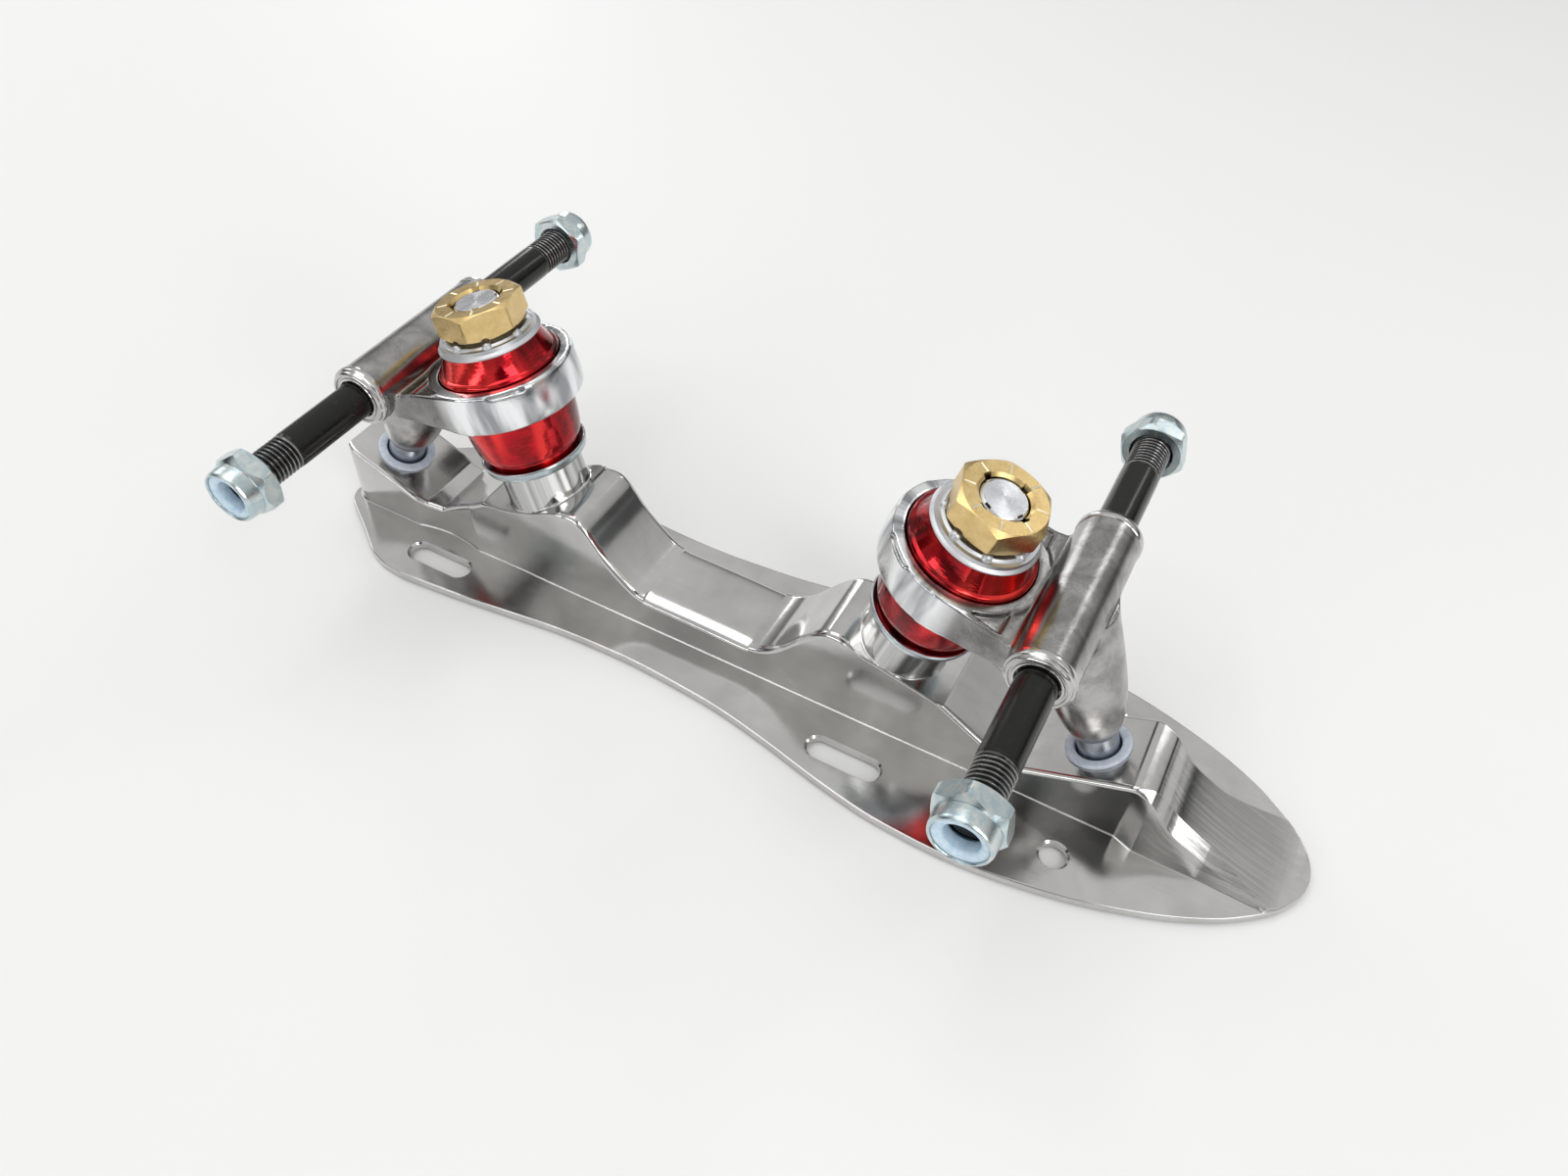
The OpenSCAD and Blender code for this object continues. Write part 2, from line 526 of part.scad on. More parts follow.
plate();
front_kingpin();
front_kingpin_nut();
front_upper_cup();
front_upper_cushion();
front_lower_cushion();
front_lower_washer();
front_hanger();
front_axle();
front_pivot_pin();
front_pivot_cup();
front_lock_nut_left();
front_lock_nut_right();
front_lock_insert_left();
front_lock_insert_right();
rear_kingpin();
rear_kingpin_nut();
rear_upper_cup();
rear_upper_cushion();
rear_lower_cushion();
rear_lower_washer();
rear_hanger();
rear_axle();
rear_pivot_pin();
rear_pivot_cup();
rear_lock_nut_left();
rear_lock_nut_right();
rear_lock_insert_left();
rear_lock_insert_right();
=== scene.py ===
# %% [markdown]
# # A roller skate plate, built as surfaces
# This lesson builds the fine model of a quad skate plate over its CAD frame.
# Lengths are in millimetres in the *truck frame* (X runs outboard from the middle
# of the wheelbase, Z runs up from the boot face) and are turned into metres at the
# end. The toe truck and the heel truck are the same parts, placed by two matrices.

# %% Load the frame
import math
import bpy
import bmesh
import numpy as np
from mathutils import Matrix, Vector


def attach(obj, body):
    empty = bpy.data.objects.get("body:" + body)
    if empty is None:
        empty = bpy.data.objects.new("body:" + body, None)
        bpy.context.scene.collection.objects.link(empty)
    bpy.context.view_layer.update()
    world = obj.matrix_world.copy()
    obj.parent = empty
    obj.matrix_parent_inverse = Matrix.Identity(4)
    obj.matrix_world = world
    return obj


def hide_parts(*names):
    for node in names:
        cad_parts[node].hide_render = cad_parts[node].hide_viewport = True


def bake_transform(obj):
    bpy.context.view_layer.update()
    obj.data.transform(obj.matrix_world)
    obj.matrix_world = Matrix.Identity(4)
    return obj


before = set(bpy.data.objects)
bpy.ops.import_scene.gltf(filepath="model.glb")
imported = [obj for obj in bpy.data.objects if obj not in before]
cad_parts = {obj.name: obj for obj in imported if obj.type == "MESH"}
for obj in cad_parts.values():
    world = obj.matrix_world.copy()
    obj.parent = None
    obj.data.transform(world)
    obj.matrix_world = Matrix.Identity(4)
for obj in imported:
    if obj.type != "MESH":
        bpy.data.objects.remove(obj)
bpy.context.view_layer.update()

# %% [markdown]
# ## Driving sizes
# The same numbers as in the part's source. Angles are in degrees. Each
# local frame is a 4x4 matrix, because a part is easy to draw on its own axis and a
# matrix then leans it, exactly as the kingpin and the pivot lean on the real plate.

# %% Sizes and local frames
MM = 0.001
MID, LEAN, TILT = 17.5, 16.0, 23.0
BOSS_H, BOSS_R, OUT, UP, WHEELBASE = 32.0, 9.5, 22.05, 24.0, 152.4
CUP_X, CUP_Z, LIP, BALL_IN, STEM_R = 89.5, 15.0, 0.9, 3.0, 3.2
PIN_R, RING_R, RING_LIFT, RING_H = 5.0, 16.3, 13.7, 9.3
RING_TOP = RING_LIFT + RING_H
WEB_LOW, WEB_HIGH = RING_LIFT + 2.9, RING_TOP - 3.1
CUP_LOW = RING_TOP + 5.4
CUP_TOP = CUP_LOW + 3.0
NUT_H, NUT_AF, PIN_PITCH = 6.0, 17.2, 1.5
NUT_TOP = CUP_TOP + NUT_H
PIN_TOP = NUT_TOP - 0.4
BARREL_HALF, BARREL_R = 21.6, 6.7
AXLE_R, AXLE_HALF, THREAD_AT, AXLE_PITCH = 4.0, 54.0, 41.5, 1.0
LOCK_FACE, LOCK_H, LOCK_AF = 57.6, 7.8, 12.8
NUT_TURN = {"front": 104.6, "rear": 170.5}
LOCK_TURN = {"front_left": 15.0, "front_right": 20.0, "rear_left": 27.0, "rear_right": 34.0}
CLICK_AT, NOTCH_AT = 5.0, 49.0  # where the cup's bumps and the nut's notches start
HALF_SPINE, FLANGE = 9.8, 2.0


def shift(x, y, z):
    """4x4 matrix that moves by (x, y, z)."""
    m = np.eye(4)
    m[:3, 3] = x, y, z
    return m


def spin(axis, degrees):
    """4x4 matrix that turns about a main axis, right handed."""
    return np.array(Matrix.Rotation(math.radians(degrees), 4, axis))


def linked(name, data):
    """A new object in the scene."""
    obj = bpy.data.objects.new(name, data)
    bpy.context.collection.objects.link(obj)
    return obj


sin_l, cos_l = math.sin(math.radians(LEAN)), math.cos(math.radians(LEAN))
sin_t, cos_t = math.sin(math.radians(TILT)), math.cos(math.radians(TILT))
boss_x = WHEELBASE / 2 - OUT * cos_l - UP * sin_l
boss_z = BOSS_H + 1.5 * cos_l
axle_x, axle_z = WHEELBASE / 2, boss_z - OUT * sin_l + UP * cos_l
ball_x = CUP_X + sin_t * (BALL_IN - LIP)
ball_z = CUP_Z - cos_t * (BALL_IN - LIP)
leg_dx, leg_dz = axle_x - 1 - ball_x, axle_z - ball_z
LEG_LEN = math.hypot(leg_dx, leg_dz)

FRONT = shift(-MID, 0, 0)
REAR = shift(-MID, 0, 0) @ spin("Z", 180)
ON_PIN = shift(boss_x, 0, boss_z) @ spin("Y", LEAN)
ON_PIVOT = shift(CUP_X, 0, CUP_Z) @ spin("Y", -TILT)
ON_AXLE = shift(axle_x, 0, axle_z) @ spin("X", -90)
ON_LEG = shift(ball_x, 0, ball_z) @ spin("Y", math.degrees(math.atan2(leg_dx, leg_dz)))
print("washer plane at", round(boss_x, 2), round(boss_z, 2), "axle at", round(axle_x, 2), round(axle_z, 2))

# %% [markdown]
# ## The camera, at the photograph's angle
# Found by fitting the wheelbase, both kingpins and the plate's outline together.
# The camera looks down at 47 degrees and is rolled by 3.8 degrees.

# %% Camera
az, el, roll = (math.radians(v) for v in (25.23, 47.13, 3.84))
back = np.array([math.sin(az) * math.cos(el), -math.cos(az) * math.cos(el), math.sin(el)])
right = np.array([math.cos(az), math.sin(az), 0.0])
over = np.cross(back, right)
lens = bpy.data.cameras.new("camera")
lens.sensor_width, lens.lens = 36.0, 26.93
lens.clip_start, lens.clip_end = 0.01, 20.0
camera = linked("camera", lens)
pose = np.eye(4)
pose[:3, 0] = math.cos(roll) * right + math.sin(roll) * over
pose[:3, 1] = -math.sin(roll) * right + math.cos(roll) * over
pose[:3, 2] = back
pose[:3, 3] = 0.0728, -0.1571, 0.2093
camera.matrix_world = Matrix(pose.tolist())
bpy.context.scene.camera = camera
print("camera distance", round(float(np.linalg.norm(pose[:3, 3])), 3), "m")

# %% [markdown]
# ## Surfaces as grids
# A *surface* here is a pair: points (n, 3) and quads (m, 4). A lathe sweeps a closed
# outline in (radius, height) round the Z axis:
# `x = r cos t, y = r sin t, z = h`. Corners of an outline are rounded first, because
# a real edge always catches a line of light. Blender's Spin and Screw
# tools turn an outline too, but a formula lets threads and bumps change it at each angle.

# %% Grids, lathes and meshes
def full_turn(n):
    """n even angles of a full turn."""
    return np.linspace(0, math.tau, n, endpoint=False)


def quarter(n):
    """n even angles from 0 to a quarter turn, both ends included."""
    return np.linspace(0, math.pi / 2, n)


def loop_quads(n, m, wrap_n=True):
    """Quads of an n by m grid, closed in its second direction, and in its first if wrap_n."""
    i = np.arange(n if wrap_n else n - 1)[:, None]
    j = np.arange(m)[None, :]
    a, b = (i + 1) % n, (j + 1) % m
    return np.stack([i * m + j, a * m + j, a * m + b, i * m + b], -1).reshape(-1, 4)


def stacked(columns, like):
    """Pairs of columns, each a number or an array like the given one, as two grids."""
    return [np.stack([np.broadcast_to(c[k], like.shape) for c in columns], -1) for k in (0, 1)]


def rounded(corners, steps=4, closed=True):
    """Rounds an outline's corners. Each corner is (a, b) or (a, b, radius). The arc between the two
    tangent points at distance d = radius / tan(angle / 2) is a quadratic curve drawn to the corner.
    d stays under half of each side, so that neighbouring arcs can't meet."""
    out = []
    n = len(corners)
    for k, corner in enumerate(corners):
        p = np.array(corner[:2], float)
        radius = corner[2] if len(corner) > 2 else 0.0
        if radius <= 0 or (not closed and k in (0, n - 1)):
            out.append(p)
            continue
        u = np.array(corners[k - 1][:2], float) - p
        v = np.array(corners[(k + 1) % n][:2], float) - p
        lu, lv = np.linalg.norm(u), np.linalg.norm(v)
        angle = math.acos(np.clip(u @ v / (lu * lv), -1, 1))
        d = min(radius / max(math.tan(angle / 2), 1e-3), 0.49 * lu, 0.49 * lv)
        a, c = p + u / lu * d, p + v / lv * d
        pull = 0.62 * p + 0.38 * (a + c) / 2
        for t in np.linspace(0, 1, steps + 1):
            w = 0.42 * 4 * t * (1 - t)
            out.append(((1 - t) * a + t * c) * (1 - w) + w * pull)
    return np.array(out)


def turned_grid(r, z, t):
    """The surface with radius r and height z at the angles t, a row an angle."""
    points = np.stack([r * np.cos(t), r * np.sin(t), z], -1).reshape(-1, 3)
    return points, loop_quads(*r.shape)


def lathe(outline, n=128, shape=None, angles=None):
    """Sweeps a closed (radius, height) outline round Z. shape(r, z, t) may return new r and z."""
    t = full_turn(n) if angles is None else angles
    r, z, t = np.broadcast_arrays(outline[:, 0], outline[:, 1], t[:, None])
    if shape:
        r, z = shape(r, z, t)
    return turned_grid(r, z, t)


def placed(surface, at):
    """A surface moved by a 4x4 matrix."""
    points, quads = surface
    return points @ at[:3, :3].T + at[:3, 3], quads


def joined(*surfaces):
    """Several surfaces as one."""
    offset = np.cumsum([0] + [len(s[0]) for s in surfaces[:-1]])
    return np.vstack([s[0] for s in surfaces]), np.vstack([s[1] + o for s, o in zip(surfaces, offset)])


def as_object(name, surface, at, sharp=32.0):
    """A Blender mesh object in metres. Doubled points are merged, and all faces point outwards."""
    points, quads = placed(surface, at)
    mesh = bpy.data.meshes.new(name)
    mesh.from_pydata((points * MM).tolist(), [], quads.tolist())
    own = mesh.attributes.new("own", "FLOAT_VECTOR", "POINT")
    own.data.foreach_set("vector", surface[0].astype(np.float32).ravel())
    bm = bmesh.new()
    bm.from_mesh(mesh)
    bmesh.ops.remove_doubles(bm, verts=bm.verts, dist=2e-6)
    bmesh.ops.dissolve_degenerate(bm, edges=bm.edges, dist=1e-6)
    bmesh.ops.recalc_face_normals(bm, faces=bm.faces)
    bm.to_mesh(mesh)
    bm.free()
    mesh.shade_smooth()
    mesh.set_sharp_from_angle(angle=math.radians(sharp))
    return linked(name, mesh)


def combine(piece, other, how):
    """Boolean of a piece with another object, which is then removed."""
    step = piece.modifiers.new("cut", "BOOLEAN")
    step.operation, step.object, step.solver = how, other, "EXACT"
    graph = bpy.context.evaluated_depsgraph_get()
    mesh = bpy.data.meshes.new_from_object(piece.evaluated_get(graph))
    piece.modifiers.clear()
    piece.data = mesh
    bpy.data.objects.remove(other)


print("surface tools ready")

# %% [markdown]
# ## Surfaces from a distance field
# The cast hanger has soft blends between its ring, arms, barrel and leg. Those come
# from a field: f < 0 inside the metal, and a smooth minimum
# `-k log(exp(-a/k) + exp(-b/k))` melts two shapes together over about k.
# The surface where f = 0 is found on a grid: one point in each cell that the surface
# passes, and one quad round each grid edge that it crosses. Newton steps
# `p - f grad f / |grad f|^2` then pull the points exactly onto it.

# %% Field tools
def melt(a, b, k):
    """Smooth minimum of two fields."""
    low = np.minimum(a, b)
    return low - k * np.log(np.exp(-(a - low) / k) + np.exp(-(b - low) / k))


def melt_max(a, b, k):
    """Smooth maximum of two fields, which rounds a convex edge over about k."""
    return -melt(-a, -b, k)


def carve(a, b, k):
    """Field a with the solid b taken away, with an edge rounded over about k."""
    return -melt(-a, b, k)


def local(p, at):
    """Points of the truck frame in the frame of a 4x4 matrix."""
    return (p - at[:3, 3]) @ at[:3, :3]


def gradient(field, p, e):
    """Central differences of a field over a step of e each way."""
    return np.stack([field(p + d) - field(p - d) for d in np.eye(3) * e], -1)


def skin(field, low, high, step, newton=4, e=0.02):
    """The surface where the field is 0, as points and quads."""
    axes = [np.arange(a, b + step, step) for a, b in zip(low, high)]
    grid = np.stack(np.meshgrid(*axes, indexing="ij"), -1)
    f = field(grid)
    cells = tuple(s - 1 for s in f.shape)
    total, count = np.zeros(cells + (3,)), np.zeros(cells)
    crossings = []
    for axis in range(3):
        lower, upper = [slice(None)] * 3, [slice(None)] * 3
        lower[axis], upper[axis] = slice(0, -1), slice(1, None)
        a, b = f[tuple(lower)], f[tuple(upper)]
        cross = (a < 0) != (b < 0)
        spot = grid[tuple(lower)].copy()
        spot[..., axis] += np.where(cross, a / np.where(cross, a - b, 1.0), 0.0) * step
        spot *= cross[..., None]
        others = [k for k in range(3) if k != axis]
        for i in (0, 1):
            for j in (0, 1):
                pick = [slice(None)] * 3
                pick[others[0]] = slice(i, f.shape[others[0]] - 1 + i)
                pick[others[1]] = slice(j, f.shape[others[1]] - 1 + j)
                total += spot[tuple(pick)]
                count += cross[tuple(pick)]
        crossings.append((axis, others, cross, a < 0))
    active = count > 0
    number = np.full(cells, -1)
    number[active] = np.arange(active.sum())
    points = total[active] / count[active][:, None]
    quads = []
    for axis, others, cross, inner in crossings:
        index = np.argwhere(cross)
        index = index[np.all([(index[:, k] > 0) & (index[:, k] < cells[k]) for k in others], 0)]
        corners = []
        for i, j in ((1, 1), (0, 1), (0, 0), (1, 0)):
            cell = index.copy()
            cell[:, others[0]] -= i
            cell[:, others[1]] -= j
            corners.append(number[tuple(cell.T)])
        face = np.stack(corners, -1)
        flip = inner[tuple(index.T)] == (axis == 1)
        face[flip] = face[flip][:, ::-1]
        quads.append(face)
    for _ in range(newton):  # each move stays under 0.4 of a cell
        slope = gradient(field, points, e) / (2 * e)
        move = field(points)[:, None] * slope / np.maximum((slope ** 2).sum(-1, keepdims=True), 0.2)
        points = points - np.clip(move, -0.4 * step, 0.4 * step)
    return points, np.vstack(quads)


def field_shaded(piece, field, base, e=0.05):
    """Shades a piece by its field's own slope: the normal at each point is grad f / |grad f|."""
    flat = np.empty(len(piece.data.vertices) * 3, np.float32)
    piece.data.vertices.foreach_get("co", flat)
    at = (flat.reshape(-1, 3) / MM - base[:3, 3]) @ base[:3, :3]
    slope = gradient(field, at, e) @ base[:3, :3].T
    slope /= np.maximum(np.linalg.norm(slope, axis=1, keepdims=True), 1e-9)
    piece.data.normals_split_custom_set_from_vertices(slope.tolist())


print("field tools ready")

# %% [markdown]
# ## The foot plate
# The plate is the polished aluminium sole of the skate: a thin flange with a spine
# down its middle that rises to carry the two trucks. Boxes and booleans could build
# it, but its soft edges change along the way, which no single bevel can follow. So it
# is one sweep along X, and its sizes are functions of x: half width of the outline,
# height of the spine, half widths of the spine at top and foot.

# %% Outline and spine line
def curve(stations, n=12):
    """Catmull-Rom curve through (x, y) stations, as dense points."""
    p = np.array([stations[0]] + list(stations) + [stations[-1]], float)
    t = np.linspace(0, 1, n, endpoint=False)[None, :, None]
    a, b, c, d = p[:-3, None], p[1:-2, None], p[2:-1, None], p[3:, None]
    out = 0.5 * (2 * b + (c - a) * t + (2 * a - 5 * b + 4 * c - d) * t ** 2
                 + (3 * b - a - 3 * c + d) * t ** 3)
    return np.vstack([out.reshape(-1, 2), p[-1]])


def platform(x):
    """Height of the pivot platform's plane at a distance from the middle."""
    return CUP_Z + (x - CUP_X) * math.tan(math.radians(TILT))


def evenly(line, step):
    """Stations on a polyline no further apart than step, keeping its own corners."""
    x = line[:, 0]
    gap = np.hypot(np.diff(line[:, 0]), np.diff(line[:, 1]))
    out = [x[:1]]
    for k in range(len(gap)):
        pieces = max(1, int(math.ceil(gap[k] / step)))
        out.append(x[k] + (x[k + 1] - x[k]) * np.arange(1, pieces + 1) / pieces)
    return np.concatenate(out)


heel_x, toe_x = -102.0, 137.0
heel_rim = [(-102, 7.5), (-101.3, 9.9), (-100.2, 11.4), (-98.4, 12.8), (-91.2, 17.6), (-84.1, 22.8),
            (-79.3, 24.6), (-75, 25.0)]
side_rim = curve([(-75, 25.0), (-72.1, 25.1), (-59, 24.1), (-44.6, 22.5), (-30.3, 20.8), (-13.6, 20.2),
                  (-0.4, 20.86), (12.7, 22.2), (25.9, 24.8), (39, 27.9), (51, 30.2), (60.5, 31.0),
                  (68.9, 31.2), (77.2, 30.75), (86.8, 29.5), (96.4, 27.6), (105.5, 25.0), (114.3, 21.8),
                  (122.2, 17.9), (127.9, 14.0), (132.2, 10.3), (135.1, 6.4), (136.5, 3.1), (137, 0.05)])
rim = np.vstack([rounded([(x, y, 6.0) for x, y in heel_rim], 6, closed=False)[:-1], side_rim])
crest = CUP_X + 9.0
crest_z = platform(crest)
valley = CUP_X - 15.6
valley_corners = [(valley - 1.2, platform(valley) + 1.2, 0.6), (valley + 3.2, platform(valley + 3.2), 1.2)]
heel_valley = [(-x, z, r) for x, z, r in valley_corners[::-1]]
hump = curve([(-58.3, 19.3), (-51, 20.6), (-44.3, 22.9), (-38.9, 25.6), (-35.2, 26.9), (-31.8, 26.9),
              (-29.4, 25.1), (-27.4, 22.4), (-24.6, 18.6), (-20.9, 14.9), (-17.2, 11.9), (-14.3, 10.9),
              (-11, 10.75), (-4, 10.65), (4, 10.5), (10.5, 10.3), (13.4, 10.5), (16.8, 11.6),
              (20.4, 14.4), (24.7, 19.6), (28, 23.2), (30.8, 25.1), (33.4, 25.5), (36, 24.8),
              (40, 23.1), (45, 21.8), (52, 20.0), (58.3, 18.4)], 10)
toe_slope = curve([(crest + 1.2, crest_z + 0.25), (crest + 3.9, crest_z - 0.3),
                   (crest + 5.4, crest_z - 1.4), (crest + 8, crest_z - 4.0), (crest + 11, crest_z - 6.6),
                   (crest + 16, crest_z - 9.5), (crest + 22, crest_z - 12.3), (crest + 28, 4.1),
                   (crest + 33.2, 2.35), (crest + 36.5, 2.0)], 8)
spine_line = np.vstack([
    rounded([(-102, 2.02), (-99.3, platform(99.3)), *heel_valley, (-58.3, 19.3)], 8, closed=False)[:-1],
    hump[:-1],
    rounded([(58.3, 18.4), *valley_corners, (crest, crest_z), (crest + 1.2, crest_z + 0.25)],
            8, closed=False)[:-1],
    toe_slope])
print("outline points", len(rim), "spine points", len(spine_line))

# %% [markdown]
# ### Stations and cross sections
# A station is an x where the plate is cut through. Stations lie close together where
# the outline or the spine bends. The section there runs from the middle of the top,
# over a rounded edge, down the spine wall, round a fillet on to the flange, round the
# flange's edge and back along the boot face, and is mirrored in y. The top edge is a
# wide ellipse along the waist, crisp beside the bosses and a chamfer down the toe.

# %% Sweep of the plate
WAIST_FROM, WAIST_TO = -14.3, 13.0  # where the rounder edge starts and ends
END_ROUND, RIM_ROUND, FOOT_ROUND, HEEL_CORNER = 0.4, 0.35, 0.32, 6.0
xs = np.unique(np.round(np.concatenate([
    evenly(spine_line, 0.8), rim[:, 0], heel_x + END_ROUND * (1 - np.cos(quarter(6))),
    np.arange(132, 136.6, 0.4), toe_x - END_ROUND + END_ROUND * np.sin(quarter(7)),
    [WAIST_FROM - 0.2, WAIST_FROM, WAIST_TO, WAIST_TO + 0.2, crest + 0.6, crest + 4.5]]), 4))
xs = xs[(xs >= heel_x) & (xs <= toe_x)]
xs = xs[np.concatenate([[True], np.diff(xs) > 0.012])]
y_rim = np.interp(xs, rim[:, 0], rim[:, 1])
top = np.interp(xs, spine_line[:, 0], spine_line[:, 1], right=FLANGE)
to_end = np.clip(np.minimum(xs - heel_x, toe_x - xs) / END_ROUND, 0, 1)
edge = END_ROUND - END_ROUND * np.sqrt(np.clip(1 - (1 - to_end) ** 2, 0, 1))
past_corner = np.clip(HEEL_CORNER ** 2 - (heel_x + HEEL_CORNER - xs) ** 2, 0, None)
plan = np.where(xs < heel_x + HEEL_CORNER, HALF_SPINE - HEEL_CORNER + np.sqrt(past_corner), HALF_SPINE)
hollow = np.clip(1.25 - (xs + 71) ** 2 / 63.6, 0, None)
toe_in = np.clip((xs - crest - 0.6) / 3.9, 0, 1)
to_tip = np.clip((xs - 117) / 13, 0, 1)
wall_top = plan - hollow - 0.3 * toe_in + 2.3 * to_tip ** 1.3
wall_foot = plan - hollow + 1.5 * toe_in + 0.5 * to_tip
inside = np.minimum(y_rim - 0.5, 40)
wall_top = np.minimum(wall_top, np.maximum(inside - 0.1, 0.01))
wall_foot = np.minimum(wall_foot, np.maximum(inside, 0.02))
rise = np.maximum(top - FLANGE, 0.0)
waist = (xs > WAIST_FROM - 0.01) & (xs < WAIST_TO + 0.01)
on_hump = (xs > -36) & (xs < 36)
soft_edge = np.where(waist, 1.9, np.where(on_hump, 1.7, 1.1)) + 1.7 * np.clip((xs - crest - 1) / 8, 0, 1)
beside = np.clip(np.minimum(np.abs(xs) - 35, 59 - np.abs(xs)) / 3, 0, 1)
soft_edge = soft_edge + (0.4 - soft_edge) * beside * (3 - 2 * beside) * beside
brk = np.minimum(soft_edge, 0.45 * rise)
chamfer = np.clip((xs - crest - 0.6) / 3, 0, 1)  # the rounding turns into a chamfer
wide = brk * np.where(waist, 2.3, 1.0)  # along the waist the edge is an ellipse
fil = np.minimum(FOOT_ROUND, 0.4 * rise)


def section():
    """Half cross sections, one row a station: y and z of each point from the middle of the top
    to the middle of the boot face. Arcs are quarter ellipses: y + w sin a, z + r (cos a - 1). Columns
    close to a corner keep an arc's shading from running over the flat beside it."""
    low, high = edge, FLANGE - edge
    up = np.maximum(top, high)
    columns = [(part * (wall_top - wide), up) for part in (0.0, 0.35, 0.7, 0.985)]
    for a in quarter(15):
        u = np.clip((a / (math.pi / 2) - 0.06) / 0.88, 0, 1)
        columns.append((wall_top - wide + wide * (math.sin(a) * (1 - chamfer) + u * chamfer),
                        up - brk + brk * (math.cos(a) * (1 - chamfer) + (1 - u) * chamfer)))
    columns += [(wall_top + (wall_foot - wall_top) * part, (up - brk) + (high + fil - up + brk) * part)
                for part in (0.015, 0.33, 0.66, 0.985)]
    columns += [(wall_foot + fil * (1 - math.cos(a)), high + fil * (1 - math.sin(a))) for a in quarter(7)]
    out = np.maximum(y_rim, 0.02)
    r = np.minimum(RIM_ROUND, 0.4 * out)
    tall = np.minimum(r, 0.49 * (high - low))
    columns += [((wall_foot + fil) * (1 - part) + (out - r) * part, high)
                for part in (0.008, 0.25, 0.5, 0.75, 0.992)]
    columns += [(out - r + r * math.sin(a), high - tall * (1 - math.cos(a))) for a in quarter(5)]
    columns += [(out - r + r * math.sin(a), low + tall * (1 - math.cos(a)))
                for a in np.linspace(math.pi / 2, 0, 5)]
    columns += [(part * out, low) for part in (0.6, 0.3, 0.0)]
    return stacked(columns, xs)


half_y, half_z = section()
ring_y = np.hstack([half_y, -half_y[:, -2:0:-1]])
ring_z = np.hstack([half_z, half_z[:, -2:0:-1]])
rows = np.stack([np.broadcast_to(xs[:, None], ring_y.shape), ring_y, ring_z], -1)
cap_a, cap_b = rows[:1].copy(), rows[-1:].copy()
cap_a[..., 2] = cap_b[..., 2] = FLANGE / 2
grid = np.concatenate([cap_a, rows, cap_b])
sweep = (grid.reshape(-1, 3), loop_quads(grid.shape[0], grid.shape[1], wrap_n=False))
PLATE_SHARP = 28  # edges steeper than this many degrees stay sharp
plate = as_object("foot_plate", sweep, FRONT, PLATE_SHARP)
print("stations", len(xs), "points", len(plate.data.vertices))

# %% [markdown]
# ### Bosses and openings
# The bosses are the two leaned posts that the trucks stand on. They join the spine as
# lathe shapes with a flared foot, kept inside the spine walls. The holes, slots,
# sockets and pockets are then cut with tools whose rims are flared, so that each
# opening gets the fine chamfer that a countersink leaves. A boolean suits them, since
# the real ones are drilled and milled out of the metal as well.

# %% Bosses and cutters
def boss(way):
    """Boss with a rounded top edge, in the kingpin's frame. At each angle t its wall meets the spine's
    top at a height h, found by repeating z = top(x). There a fillet of radius f follows
    r = R + f (1 - sin a), z = h + f (1 - cos a). It is wider towards the hump and stays inside
    the spine's walls."""
    t = full_turn(160)
    h = np.full_like(t, -12.0)
    for _ in range(12):
        x = boss_x + cos_l * BOSS_R * np.cos(t) + sin_l * h
        spine_z = np.interp(way * x, spine_line[:, 0], spine_line[:, 1])
        h = (spine_z - boss_z + sin_l * BOSS_R * np.cos(t)) / cos_l
    f = 0.45 + 0.35 * np.clip(-np.cos(t), 0, 1) ** 2
    room = BOSS_R / np.maximum(np.abs(np.sin(t)), 1e-6) - BOSS_R
    columns = [(0, -1.5), (0, -24), (BOSS_R, -24), (BOSS_R + np.minimum(f, room), h - 1.2)]
    columns += [(BOSS_R + np.minimum(f * (1 - math.sin(a)), room), h + f * (1 - math.cos(a)))
                for a in quarter(9)]
    columns.append((BOSS_R, -3.2))
    columns += list(rounded([(BOSS_R, -4), (BOSS_R, -1.5, 0.4), (0, -1.5)], 5, closed=False)[1:-1])
    r, z = stacked(columns, t)
    return turned_grid(r, z, t[:, None])


def cutter(x, y, hx, hy, r, levels, n):
    """Cutter for a slot or pocket: outlines with round corners of radius r, stacked at heights h and
    each grown by g. A point lies at x + sign(cos t) hx + (r + g) cos t, and alike in y, where hx and hy
    are half the lengths of the straight sides."""
    t = full_turn(n)
    c, s = np.cos(t), np.sin(t)
    rows = [np.stack([x + np.sign(c) * hx + (r + g) * c, y + np.sign(s) * hy + (r + g) * s, 0 * t + h], -1)
            for h, g in levels]
    first, last = (np.tile([[x, y, levels[k][0]]], (n, 1)) for k in (0, -1))
    return np.vstack([first] + rows + [last]), loop_quads(len(rows) + 2, n, wrap_n=False)


SLOT_LEVELS = [(-1.0, 1.25), (0.25, 0.0), (FLANGE - 0.45, 0.0), (FLANGE + 1.0, 1.45)]
POCKETS = ((-24, -9, 6, 6.4), (-6.5, 6.5, 6, 6.4), (9, 24, 6, 6.4), (56, 67, 5.6, 5.2),
           (103, 114, 6, 4.4), (-67, -56, 5.6, 5.2))  # from x, to x, half width, depth
POCKET_CORNER = 1.6
bosses = joined(placed(boss(1), ON_PIN), placed(boss(-1), spin("Z", 180) @ ON_PIN))
combine(plate, as_object("bosses", bosses, FRONT), "UNION")
tools = []
for side in (-1, 1):
    for x, y, long, across in ((42.4, 20.2, 17.0, 5.4), (-68.2, 17.0, 17.0, 5.4), (89.6, 20.1, 5.8, 5.8)):
        tools.append(cutter(x, side * y, (long - across) / 2, 0.0, across / 2, SLOT_LEVELS, 64))
